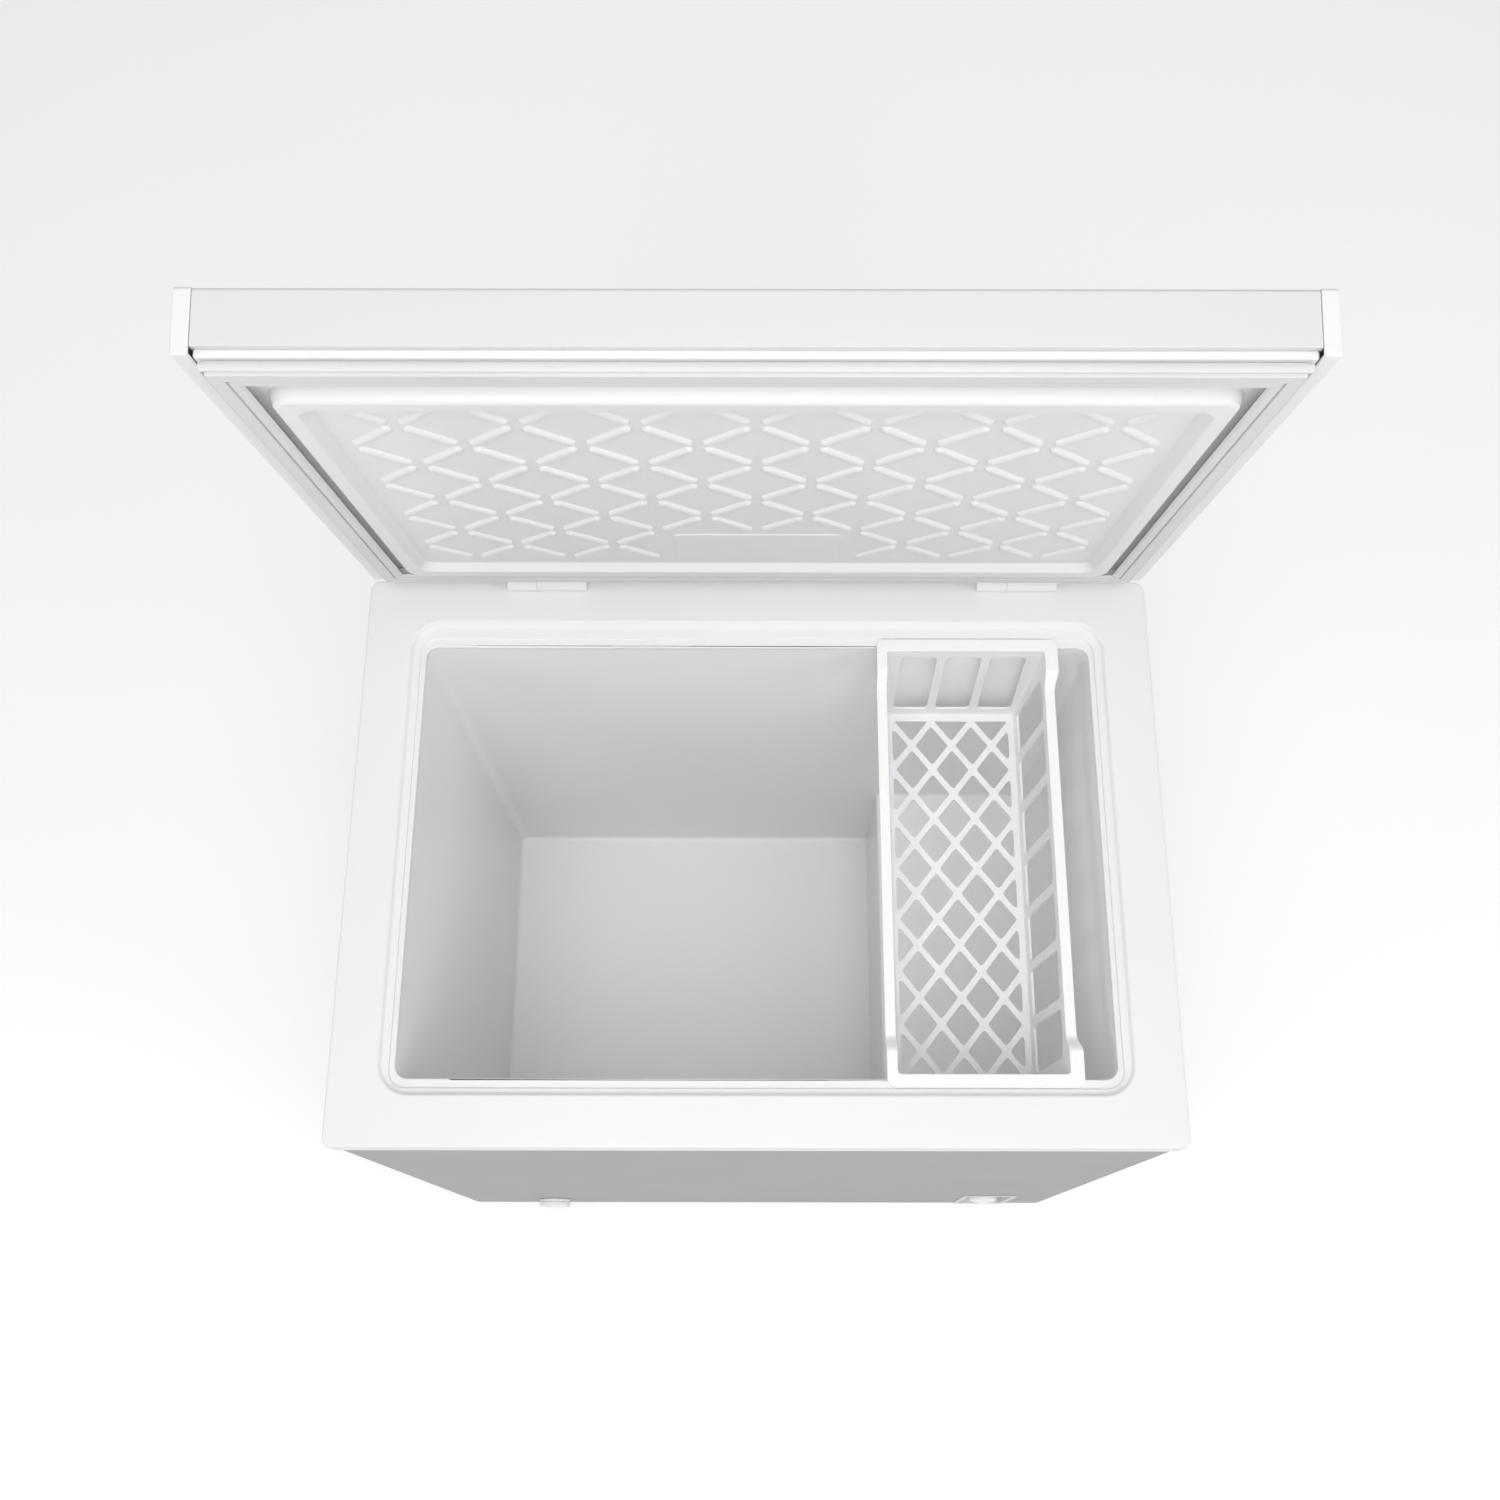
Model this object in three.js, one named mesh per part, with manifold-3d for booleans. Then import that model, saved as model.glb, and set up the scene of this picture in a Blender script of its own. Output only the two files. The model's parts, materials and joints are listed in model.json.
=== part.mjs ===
// Chest freezer with a hinged lid, a hanging basket and a compressor bay under the step.
// Millimetres, +Z up, floor at z = 0, front towards -Y, drawn about the cabinet's own centre line.
import * as THREE from 'three';
import { mergeVertices } from 'three/addons/utils/BufferGeometryUtils.js';
import { ConvexGeometry } from 'three/addons/geometries/ConvexGeometry.js';
import Module from 'manifold-3d';

const wasm = await Module();
wasm.setup();

// ---- driving dimensions ----
const cabinetWidth = 802;
const cabinetDepth = 576;
const rimTop = 792;
const footHeight = 16;
const rimOverhang = 3;
const gap = 0.3;
const sheet = 1.2;
const linerWall = 1.5;

const openingHalf = 339.5;
const openingFront = -223.4;
const openingBack = 216;
const openingDrop = 14;
const recessHalf = 354.3;
const recessFront = -240.2;
const recessBack = 240.9;
const bandDrop = 5;
const ledgeDrop = 8;
const linerFloor = 106;
const humpLeft = 156;
const humpTop = 304;
const insulation = 50;

const lidOpenAngle = 79.3;
const hingeY = 281;
const hingeRise = 9;
const lidFront = -285;
const lidBack = 284;
const lidHalf = 394;
const capWidth = 12.5;
const lidBottom = 17;
const lidTop = 59.5;
const lidSeat = 11;

const basketLeft = 122.5;
const basketRight = 305;
const basketFront = -231.8;
const basketBack = 224.8;
const basketDepth = 142;
const basketTaper = 10.5;
const basketFrontTaper = 10;
const basketBackTaper = 14;

const drainX = -274;
const drainZ = 76;
const drainY = openingFront + 32;
const knobX = 305;
const knobZ = 78;

// ---- sizes that follow from them ----
const halfWidth = cabinetWidth / 2;
const halfDepth = cabinetDepth / 2;
const shellHalf = halfWidth - rimOverhang;
const shellDepth = halfDepth - rimOverhang;
const rimSkirt = 24;
const bayLeft = humpLeft + insulation;
const bayTop = humpTop - insulation;
const basketTop = rimTop - ledgeDrop + 3;
const hingeZ = rimTop + hingeRise;
const frontFace = -shellDepth;

// ---- materials ----
function material(color, roughness, metalness) {
  return new THREE.MeshStandardMaterial({ color, roughness, metalness });
}

const whitePaint = () => material(0xf4f4f3, 0.35, 0.1);
const whitePlastic = () => material(0xf1f1ef, 0.45, 0);
const linerPlastic = () => material(0xe6e7e8, 0.4, 0);
const grayRubber = () => material(0xcfd0d0, 0.8, 0);
const blackRubber = () => material(0x1c1c1d, 0.85, 0);
const blackPlastic = () => material(0x232425, 0.5, 0);
const blackPaint = () => material(0x18191b, 0.4, 0.3);
const copper = () => material(0xb8734a, 0.35, 1);
const steel = () => material(0xb9bcc0, 0.35, 1);
const galvanised = () => material(0xa9adb0, 0.45, 0.9);
const foamYellow = () => material(0xe6d59a, 0.95, 0);

// ---- shapes ----
const group = new THREE.Group();

function solid(geometry) {
  const bare = geometry.clone();
  bare.deleteAttribute('normal');
  bare.deleteAttribute('uv');
  const merged = mergeVertices(bare, 1e-4);
  const mesh = new wasm.Mesh({
    numProp: 3,
    vertProperties: new Float32Array(merged.attributes.position.array),
    triVerts: new Uint32Array(merged.index.array),
  });
  return new wasm.Manifold(mesh);
}

function box(x0, x1, y0, y1, z0, z1) {
  const geometry = new THREE.BoxGeometry(x1 - x0, y1 - y0, z1 - z0);
  geometry.translate((x0 + x1) / 2, (y0 + y1) / 2, (z0 + z1) / 2);
  return solid(geometry);
}

// A rectangle with round corners: half-width about x = cx, front and back edges, corner radius.
function rect(half, front, back, radius, cx = 0) {
  return { left: cx - half, right: cx + half, front, back, radius };
}

function grow(r, amount) {
  const radius = Math.max(r.radius + amount, 0.5);
  return {
    left: r.left - amount, right: r.right + amount,
    front: r.front - amount, back: r.back + amount, radius,
  };
}

function outline(r, steps = 4) {
  const corners = [
    [r.right - r.radius, r.front + r.radius, -90],
    [r.right - r.radius, r.back - r.radius, 0],
    [r.left + r.radius, r.back - r.radius, 90],
    [r.left + r.radius, r.front + r.radius, 180],
  ];
  const points = [];
  for (const [x, y, start] of corners) {
    for (let i = 0; i <= steps; i += 1) {
      const turn = THREE.MathUtils.degToRad(start + (90 * i) / steps);
      points.push(new THREE.Vector2(x + r.radius * Math.cos(turn), y + r.radius * Math.sin(turn)));
    }
  }
  return points;
}

function prism(r, z0, z1, steps = 4) {
  const shape = new THREE.Shape(outline(r, steps));
  const geometry = new THREE.ExtrudeGeometry(shape, { depth: z1 - z0, bevelEnabled: false });
  geometry.translate(0, 0, z0);
  return solid(geometry);
}

// A solid that runs straight from one rounded rectangle to another at a different height.
function taper(lower, z0, upper, z1, steps = 4) {
  const ring = (r, z) => outline(r, steps).map((p) => new THREE.Vector3(p.x, p.y, z));
  return solid(new ConvexGeometry([...ring(lower, z0), ...ring(upper, z1)]));
}

// A profile of [y, z] points, run along X.
function alongX(points, x0, x1) {
  const shape = new THREE.Shape(points.map(([y, z]) => new THREE.Vector2(y, z)));
  const geometry = new THREE.ExtrudeGeometry(shape, { depth: x1 - x0, bevelEnabled: false });
  geometry.applyMatrix4(new THREE.Matrix4().set(0, 0, 1, x0, 1, 0, 0, 0, 0, 1, 0, 0, 0, 0, 0, 1));
  return solid(geometry);
}

// A round bar from one point to another.
function rod(from, to, radius, sides = 16, endRadius = radius) {
  const a = new THREE.Vector3(...from);
  const b = new THREE.Vector3(...to);
  const run = b.clone().sub(a);
  const geometry = new THREE.CylinderGeometry(endRadius, radius, run.length(), sides);
  const turn = new THREE.Quaternion().setFromUnitVectors(new THREE.Vector3(0, 1, 0), run.normalize());
  geometry.applyQuaternion(turn);
  geometry.translate(...a.add(b).multiplyScalar(0.5).toArray());
  return solid(geometry);
}

// A path that goes straight between its points, with each bend rounded off.
class Route extends THREE.Curve {
  constructor(corners, bend, steps) {
    super();
    const at = corners.map((corner) => new THREE.Vector3(...corner));
    this.stops = [at[0]];
    for (let i = 1; i < at.length - 1; i += 1) {
      const reach = (end) => at[i].clone().add(end.clone().sub(at[i]).setLength(bend));
      const arc = new THREE.QuadraticBezierCurve3(reach(at[i - 1]), at[i], reach(at[i + 1]));
      this.stops.push(...arc.getPoints(steps));
    }
    this.stops.push(at.at(-1));
  }

  getPointAt(u, target = new THREE.Vector3()) {
    return target.copy(this.stops[Math.round(u * (this.stops.length - 1))]);
  }

  getTangentAt(u, target = new THREE.Vector3()) {
    const last = this.stops.length - 1;
    const i = Math.round(u * last);
    const before = this.stops[Math.max(i - 1, 0)];
    const after = this.stops[Math.min(i + 1, last)];
    return target.copy(after).sub(before).normalize();
  }
}

// A bent pipe through the given points.
function pipe(points, radius, bend, sides = 6, steps = 2) {
  const route = new Route(points, bend, steps);
  const shape = new THREE.Shape();
  for (let i = 0; i < sides; i += 1) {
    const turn = (2 * Math.PI * i) / sides;
    const spot = [radius * Math.cos(turn), radius * Math.sin(turn)];
    if (i === 0) {
      shape.moveTo(...spot);
    } else {
      shape.lineTo(...spot);
    }
  }
  const options = { extrudePath: route, steps: route.stops.length - 1, bevelEnabled: false };
  return solid(new THREE.ExtrudeGeometry(shape, options));
}

function turned(profile, x, y, z, sides = 20) {
  const geometry = new THREE.LatheGeometry(profile.map(([r, h]) => new THREE.Vector2(r, h)), sides);
  geometry.rotateX(Math.PI / 2);
  geometry.translate(x, y, z);
  return solid(geometry);
}

function piece(name, body, look) {
  const made = body.getMesh();
  const geometry = new THREE.BufferGeometry();
  geometry.setAttribute('position', new THREE.BufferAttribute(new Float32Array(made.vertProperties), 3));
  geometry.setIndex(new THREE.BufferAttribute(new Uint32Array(made.triVerts), 1));
  geometry.computeVertexNormals();
  const mesh = new THREE.Mesh(geometry, look);
  mesh.name = name;
  group.add(mesh);
  return mesh;
}

// Lid pieces are drawn shut, then swung open about the hinge axis.
function lidPiece(name, body, look) {
  const mesh = piece(name, body, look);
  mesh.geometry.translate(0, -hingeY, -hingeZ);
  mesh.geometry.rotateX(-THREE.MathUtils.degToRad(lidOpenAngle));
  mesh.geometry.translate(0, hingeY, hingeZ);
}

// ---- cabinet ----
const drainBore = () => rod([drainX, -halfDepth - 20, drainZ], [drainX, openingFront + 10, drainZ], 10.2, 16);
const panelOpening = { left: 273, right: 337, bottom: 24, top: 158 };
const panelBlock = (extra, y0, y1) => box(
  panelOpening.left - extra, panelOpening.right + extra, y0, y1,
  panelOpening.bottom - extra, panelOpening.top + extra,
);

function outerShell() {
  const outer = rect(shellHalf, -shellDepth, shellDepth, 14);
  const inner = grow(outer, -sheet);
  const wrap = prism(outer, footHeight, rimTop - rimSkirt / 2).subtract(prism(inner, footHeight - 1, rimTop));
  const openBack = box(-shellHalf + 26, shellHalf - 26, shellDepth - 5, shellDepth + 5, 0, rimTop);
  return wrap.subtract(openBack).subtract(drainBore()).subtract(panelBlock(gap, -halfDepth, -shellDepth + 5));
}

function backPanel() {
  const y0 = shellDepth - 2 * sheet - gap;
  const panel = box(-shellHalf + 17, shellHalf - 17, y0, y0 + sheet, footHeight + 3, rimTop - rimSkirt - gap);
  return panel.subtract(box(bayLeft + 16, shellHalf - 22, y0 - 1, y0 + 5, footHeight + 20, bayTop - 14));
}

function basePlate() {
  const floor = rect(shellHalf - sheet - gap, -shellDepth + sheet + gap, shellDepth - 3 * sheet, 12);
  return prism(floor, footHeight, footHeight + 2);
}

// The rim's recess: a slope to a flat band, a step down to the ledge, then the opening.
const recess = (extra) => rect(recessHalf + extra, recessFront - extra, recessBack + extra, 30 + extra);
const band = rect(recessHalf - 6.8, recessFront + 4.2, recessBack - 6.7, 24);
const ledge = rect(recessHalf - 9.3, recessFront + 7.2, recessBack - 14.9, 20);
const opening = rect(openingHalf, openingFront, openingBack, 12);

function rimFrame() {
  const outer = rect(halfWidth, -halfDepth, halfDepth, 10);
  const block = prism(outer, rimTop - rimSkirt, rimTop - 3)
    .add(taper(outer, rimTop - 3, grow(outer, -2), rimTop));
  const slope = taper(band, rimTop - bandDrop, recess(0), rimTop).add(prism(recess(0), rimTop, rimTop + 5));
  const step = prism(ledge, rimTop - ledgeDrop, rimTop);
  const skirtRoom = grow(outer, -rimOverhang + gap);
  const below = prism(skirtRoom, rimTop - rimSkirt - 1, rimTop - openingDrop);
  const underLedge = prism(recess(4), rimTop - openingDrop - 1, rimTop - ledgeDrop - 3)
    .subtract(prism(grow(opening, 2.5), rimTop - openingDrop - 2, rimTop));
  const underTop = prism(skirtRoom, rimTop - openingDrop - 1, rimTop - 3)
    .subtract(prism(recess(4), rimTop - openingDrop - 2, rimTop));
  return [slope, step, below, underLedge, underTop, prism(opening, 0, rimTop)]
    .reduce((left, part) => left.subtract(part), block);
}

const linerTop = rimTop - openingDrop - gap;
const humpBlock = (extra) => box(
  humpLeft - extra, openingHalf + 100, openingFront - 100, openingBack + 100, 0, humpTop + extra);

function innerLiner() {
  const wall = linerWall;
  const body = prism(grow(opening, wall), linerFloor - wall, linerTop).subtract(humpBlock(-wall));
  const flange = prism(grow(opening, 16), linerTop - wall, linerTop);
  const hollow = prism(opening, linerFloor, rimTop).subtract(humpBlock(0));
  const drainHole = rod([drainX, drainY, 0], [drainX, drainY, linerFloor + 5], 8);
  return body.add(flange).subtract(hollow).subtract(drainHole);
}

// The coil of cold pipe lies in grooves round the liner, the warm one inside the shell.
const coldLoops = [360, 450, 540, 630, 715];
const warmLoops = [310, 400, 490, 580, 670];
const pipeRadius = 3.5;
const coldRing = grow(opening, linerWall + pipeRadius + 2 * gap);
const warmReach = shellHalf - sheet - pipeRadius - 0.8;
const warmFront = -shellDepth + sheet + pipeRadius + 0.8;
const warmBack = shellDepth - 40;

function evaporatorCoil() {
  const points = [];
  coldLoops.forEach((z, i) => {
    const next = coldLoops[i + 1] ?? z;
    points.push([coldRing.left, coldRing.back, z], [coldRing.left, coldRing.front, z]);
    points.push([coldRing.right, coldRing.front, z], [coldRing.right, coldRing.back, z]);
    points.push([coldRing.left + 60, coldRing.back, z]);
    points.push([coldRing.left + 60, coldRing.back, next]);
  });
  points.pop();
  return pipe(points, pipeRadius, 16);
}

function condenserCoil() {
  const points = [];
  warmLoops.forEach((z, i) => {
    const side = i % 2 === 0 ? 1 : -1;
    points.push([side * warmReach, warmBack, z], [side * warmReach, warmFront, z]);
    points.push([-side * warmReach, warmFront, z], [-side * warmReach, warmBack, z]);
  });
  return pipe(points, pipeRadius, 16);
}

function foamInsulation() {
  const outer = rect(shellHalf - sheet - gap, -shellDepth + sheet + gap, shellDepth - 3 * sheet - gap, 12);
  const skin = linerWall + gap;
  const lining = prism(grow(opening, skin), linerFloor - skin, rimTop).subtract(humpBlock(-skin));
  const flangeRoom = prism(grow(opening, 16.5), linerTop - 2, rimTop);
  const bay = box(bayLeft, halfWidth, -halfDepth, halfDepth, 0, bayTop);
  let foam = prism(outer, footHeight + 2 + gap, rimTop - rimSkirt - gap);
  foam = foam.subtract(lining).subtract(flangeRoom).subtract(bay).subtract(drainBore());
  foam = foam.subtract(rod([drainX, drainY, drainZ - 10], [drainX, drainY, linerFloor], 11));
  foam = foam.subtract(rod([drainX, openingFront, drainZ], [drainX, drainY + 10, drainZ], 10.2));
  const groove = pipeRadius + 1;
  const cold = { ...grow(coldRing, groove), radius: 8 };
  foam = foam.subtract(prism(cold, coldLoops[0] - groove, coldLoops.at(-1) + groove));
  for (const z of warmLoops) {
    foam = foam.subtract(prism(grow(outer, 5), z - groove, z + groove)
      .subtract(prism(grow(outer, -2.6 * groove), z - 20, z + 20)));
  }
  for (const side of [-1, 1]) {
    foam = foam.subtract(box(side * warmReach - 5, side * warmReach + 5, warmBack - 20, warmBack + 5,
      warmLoops[0] - groove, warmLoops.at(-1) + groove));
  }
  return foam;
}

function foot(x, y) {
  return taper(rect(17, y - 17, y + 17, 16, x), 0, rect(21, y - 21, y + 21, 20, x), footHeight - gap);
}

// ---- compressor bay ----
const compressorX = 302;
const compressorY = 150;
const compressorBase = footHeight + 2 + gap + 12;
const mountSpots = [[-72, -50], [-72, 50], [72, -50], [72, 50]].map(
  ([x, y]) => [compressorX + x, compressorY + y],
);
const glandX = 350;
const glandZ = 48;

function compressor() {
  const can = turned([
    [0, 0], [62, 0], [70, 8], [72, 60], [76, 62], [76, 68],
    [72, 70], [66, 122], [48, 142], [24, 150], [0, 152],
  ], compressorX, compressorY, compressorBase + 4);
  const plateRect = rect(84, compressorY - 62, compressorY + 62, 12, compressorX);
  const plate = prism(plateRect, compressorBase, compressorBase + 6);
  let bolts = plate;
  for (const [x, y] of mountSpots) {
    bolts = bolts.subtract(rod([x, y, compressorBase - 5], [x, y, compressorBase + 15], 6.3, 12));
  }
  return can.add(bolts);
}

function rubberMount([x, y]) {
  const z = footHeight + 2 + gap;
  return turned([[0, 0], [11, 0], [11, 11.7], [6, 11.7], [6, 20], [9, 20], [9, 24], [0, 24]], x, y, z, 12);
}

function terminalCover() {
  const y1 = compressorY - 76;
  return box(compressorX - 26, compressorX + 26, y1 - 32, y1 - 0.5, compressorBase + 34, compressorBase + 92);
}

const drierX = 226;

function filterDrier() {
  const profile = [[0, 0], [3, 0], [3, 10], [10, 22], [10, 88], [3, 100], [3, 112], [0, 112]];
  return turned(profile, drierX, 40, 90, 12);
}

function dischargeTube() {
  return pipe([
    [compressorX - 40, compressorY - 63, 90], [compressorX - 40, 60, 90], [compressorX - 40, 60, 60],
    [drierX, 60, 60], [drierX, 40, 60], [drierX, 40, 90 - gap],
  ], 3, 8, 8, 3);
}

function suctionTube() {
  return pipe([
    [compressorX + 67, compressorY - 30, 120], [compressorX + 84, compressorY - 30, 120],
    [compressorX + 84, -20, 120], [compressorX + 84, -20, bayTop - 8], [bayLeft + 8, -20, bayTop - 8],
  ], 4.5, 10, 8, 3);
}

function compressorCover() {
  const y0 = shellDepth + gap;
  const plate = { left: bayLeft + 6, right: shellHalf - 14, bottom: footHeight + 8, top: bayTop - 4 };
  let cover = box(plate.left, plate.right, y0, y0 + 2, plate.bottom, plate.top);
  const slotLeft = plate.left + 26;
  const slotWidth = (plate.right - plate.left - 70) / 2;
  for (let row = 0; row < 9; row += 1) {
    for (const column of [0, 1]) {
      const x = slotLeft + column * (slotWidth + 18);
      const z = plate.bottom + 56 + row * 15;
      cover = cover.subtract(box(x, x + slotWidth, y0 - 1, y0 + 3, z, z + 7));
    }
  }
  return cover.subtract(rod([glandX, 0, glandZ], [glandX, halfDepth + 9, glandZ], 6.3));
}

function cordGland() {
  const y0 = shellDepth - 12;
  const face = shellDepth + 2 + 2 * gap;
  const bush = rod([glandX, y0, glandZ], [glandX, face + 1, glandZ], 6)
    .add(rod([glandX, face, glandZ], [glandX, face + 8, glandZ], 10, 16, 8));
  return bush.subtract(rod([glandX, y0 - 5, glandZ], [glandX, halfDepth + 20, glandZ], 3.6, 12));
}

// ---- controls and drain at the front ----
const lampSpots = [[282, 98], [328, 98]];

function controlPanel() {
  const tray = panelBlock(0, frontFace + 0.2, frontFace + 15)
    .add(panelBlock(3, frontFace - 1.5, frontFace - gap))
    .add(panelBlock(0, frontFace - 1.5, frontFace + 1));
  const dish = box(panelOpening.left + 3, panelOpening.right - 3, frontFace - 5, frontFace + 12.5,
    panelOpening.bottom + 3, panelOpening.top - 3);
  const spindleHole = rod([knobX, frontFace, knobZ], [knobX, frontFace + 30, knobZ], 4.5, 12);
  let panel = tray.subtract(dish).subtract(spindleHole);
  for (const [x, z] of lampSpots) {
    panel = panel.subtract(rod([x, frontFace, z], [x, frontFace + 30, z], 2.8, 12));
  }
  return panel;
}

function lamp([x, z]) {
  return rod([x, frontFace + 11.2, z], [x, frontFace + 24, z], 2.5, 12);
}

function thermostatKnob() {
  const knob = rod([knobX, frontFace + 12, knobZ], [knobX, frontFace - 2, knobZ], 18.7, 28, 17.4);
  const grip = box(knobX - 2.6, knobX + 2.6, frontFace - 4.5, frontFace - 1, knobZ - 15, knobZ + 15);
  return knob.add(grip).add(rod([knobX, frontFace + 11, knobZ], [knobX, frontFace + 32, knobZ], 3, 12));
}

function thermostatBody() {
  const front = -shellDepth + 15 + gap;
  const block = box(knobX - 20, knobX + 20, front, front + 36, knobZ - 26, knobZ + 26);
  return block.subtract(rod([knobX, front - 5, knobZ], [knobX, front + 18, knobZ], 3.4, 12));
}

const drainRing = 20.3;

function drainBezel() {
  const ring = rod([drainX, frontFace - gap, drainZ], [drainX, frontFace - 5.6, drainZ], drainRing, 28);
  const bore = rod([drainX, frontFace + 5, drainZ], [drainX, frontFace - 9, drainZ], 10.2, 16);
  return ring.subtract(bore);
}

// The slim tube from the cold floor to the front wall.
function drainTube() {
  const y0 = drainY;
  const bend = rod([drainX, y0, drainZ], [drainX, y0, linerFloor - 1.5 - gap], 9.6)
    .add(rod([drainX, y0 + 9, drainZ], [drainX, frontFace + 4, drainZ], 9.6));
  return bend.subtract(rod([drainX, y0, drainZ], [drainX, y0, linerFloor], 7.6))
    .subtract(rod([drainX, y0 + 5, drainZ], [drainX, frontFace, drainZ], 7.6));
}

function drainSpout() {
  const tube = rod([drainX, frontFace + 50, drainZ], [drainX, frontFace - 10.6, drainZ], 6.9);
  const collar = rod([drainX, frontFace - 6, drainZ], [drainX, frontFace - 7.4, drainZ], 9, 16);
  const bore = rod([drainX, frontFace + 55, drainZ], [drainX, frontFace - 9.4, drainZ], 5.4, 12);
  const sideHole = box(drainX - 3, drainX + 3, frontFace - 9.3, frontFace - 7.6, drainZ - 12, drainZ);
  return tube.add(collar).subtract(bore).subtract(sideHole);
}

function drainDial() {
  const ring = rod([drainX, frontFace - 6, drainZ], [drainX, frontFace - 12.5, drainZ], drainRing, 28);
  const socket = rod([drainX, frontFace - 3, drainZ], [drainX, frontFace - 11, drainZ], 9.4, 16);
  const outlet = box(drainX - 3, drainX + 3, frontFace - 9.6, frontFace - 5, drainZ + 8, drainZ + 30);
  return ring.subtract(socket).subtract(outlet);
}

function drainPlug() {
  return turned([[0, -9], [6.6, -9], [7.2, gap], [13, gap], [13, 4], [5, 5], [5, 13], [0, 14]],
    drainX, drainY, linerFloor, 16);
}

// ---- hinges ----
const hinges = [
  { name: 'left', start: -256.5, seam: -227, end: -176 },
  { name: 'right', start: 225.5, seam: 256.2, end: 307 },
];
const knuckle = 7.5;
const pinBore = (hinge) => rod([hinge.start + 2, hingeY, hingeZ], [hinge.end - 2, hingeY, hingeZ], 3.3, 12);

function hingeBase(hinge) {
  const x0 = hinge.seam + gap / 2;
  const barrel = rod([x0, hingeY, hingeZ], [hinge.end, hingeY, hingeZ], knuckle, 20);
  const back = halfDepth + 0.4;
  const web = alongX([
    [hingeY + 3, rimTop + 1.6], [back, rimTop + 0.5], [back, rimTop - 80], [back + 2, rimTop - 80],
    [back + 2, rimTop + 2], [hingeY + 5.5, rimTop + 5.5],
  ], x0, hinge.end);
  return barrel.add(web).subtract(pinBore(hinge));
}

function hingeArm(hinge) {
  const barrel = rod([hinge.start, hingeY, hingeZ], [hinge.seam - gap / 2, hingeY, hingeZ], knuckle, 20);
  const leaf = box(hinge.start, hinge.seam - gap / 2, lidBack + gap, lidBack + gap + 2, hingeZ, rimTop + 50);
  return barrel.add(leaf).subtract(pinBore(hinge));
}

function hingePin(hinge) {
  return rod([hinge.start + 2.3, hingeY, hingeZ], [hinge.end - 2.3, hingeY, hingeZ], 3, 12);
}

// ---- lid, drawn shut ----
const sheetEnd = lidHalf - capWidth;
const linerEdge = rect(sheetEnd - 2, -279, 262, 6);
const panSeat = rect(348, -232, 226, 18);
const panFace = rect(341, -225, 219, 14);
const panDrop = -1;
const pocketMouth = rect(332, -214, 208, 14);
const pocketFloor = rect(325, -207, 201, 12);
const pocketTop = 8;

function lidProfile(inset, lower = 0) {
  const r = 5;
  const front = lidFront + inset;
  const back = lidBack - inset;
  const top = rimTop + lidTop - inset;
  const bottom = rimTop + lidBottom + inset - lower;
  return [
    [front, bottom], [front, top - r], [front + r * 0.3, top - r * 0.3], [front + r, top],
    [back - r, top], [back - r * 0.3, top - r * 0.3], [back, top - r], [back, bottom],
  ];
}

function lidOuterSheet() {
  const full = alongX(lidProfile(0), -sheetEnd + gap, sheetEnd - gap);
  const hollow = alongX(lidProfile(sheet), -lidHalf, lidHalf);
  const mouth = box(-lidHalf, lidHalf, linerEdge.front, linerEdge.back, rimTop, rimTop + lidBottom + 5);
  return full.subtract(hollow).subtract(mouth);
}

function lidEndCap(side) {
  const near = side * sheetEnd;
  const far = side * lidHalf;
  const plate = alongX(lidProfile(-0.8, 2.7), Math.min(near, far), Math.max(near, far));
  const pocket = alongX(lidProfile(1.7, 2.7), Math.min(near - side * 5, far - side * 2.5),
    Math.max(near - side * 5, far - side * 2.5));
  return plate.subtract(pocket);
}

const at = (height) => rimTop + height;

function panBody(inset) {
  const low = at(panDrop + inset);
  const shoulder = grow(panSeat, -3 - inset);
  return taper(grow(panFace, -inset), low, shoulder, low + 4)
    .add(taper(shoulder, low + 3.99, grow(panSeat, -inset), at(lidSeat + inset)));
}

const pocketBody = (extra) => taper(grow(pocketMouth, extra), at(panDrop), grow(pocketFloor, extra),
  at(pocketTop + extra));

// Short raised bars on the lid's inner face, along the sides of a square net set on its corners.
// The two rows nearest the hinges leave room for the plain framed field.
function netBars() {
  const pitch = 44;
  const nearestRow = hingeY - 125;
  const reach = pitch - 13;
  const field = prism(grow(pocketFloor, -4), at(0), at(20));
  const bars = [];
  for (let column = -7; column < 7; column += 1) {
    for (let row = 0; row < 9; row += 1) {
      const x = (column + 0.5) * pitch;
      const y = nearestRow - row * pitch;
      const rising = (column + row) % 2 !== 0;
      const besideField = row > 1 || Math.abs(x) > 2 * pitch;
      if (besideField) {
        const bar = new THREE.BoxGeometry(reach * Math.SQRT2, 6, 4.5);
        bar.rotateZ(rising ? Math.PI / 4 : -Math.PI / 4);
        bar.translate(x, y, at(pocketTop - 1.75));
        bars.push(solid(bar).intersect(field));
      }
    }
  }
  return bars;
}

function labelFrame() {
  const frame = rect(77, hingeY - 179, hingeY - 121, 6);
  return prism(frame, at(pocketTop - 2), at(pocketTop + 0.5)).subtract(prism(grow(frame, -3), at(0), at(20)));
}

function lidLiner() {
  const wall = linerWall;
  const flange = prism(linerEdge, at(lidSeat), at(lidBottom - gap))
    .subtract(prism(grow(linerEdge, -wall), at(lidSeat + wall), at(lidBottom + 5)));
  const behind = panBody(wall).subtract(pocketBody(wall));
  const pan = flange.add(panBody(0)).subtract(behind).subtract(pocketBody(0));
  return netBars().reduce((whole, bar) => whole.add(bar), pan).add(labelFrame());
}

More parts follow.
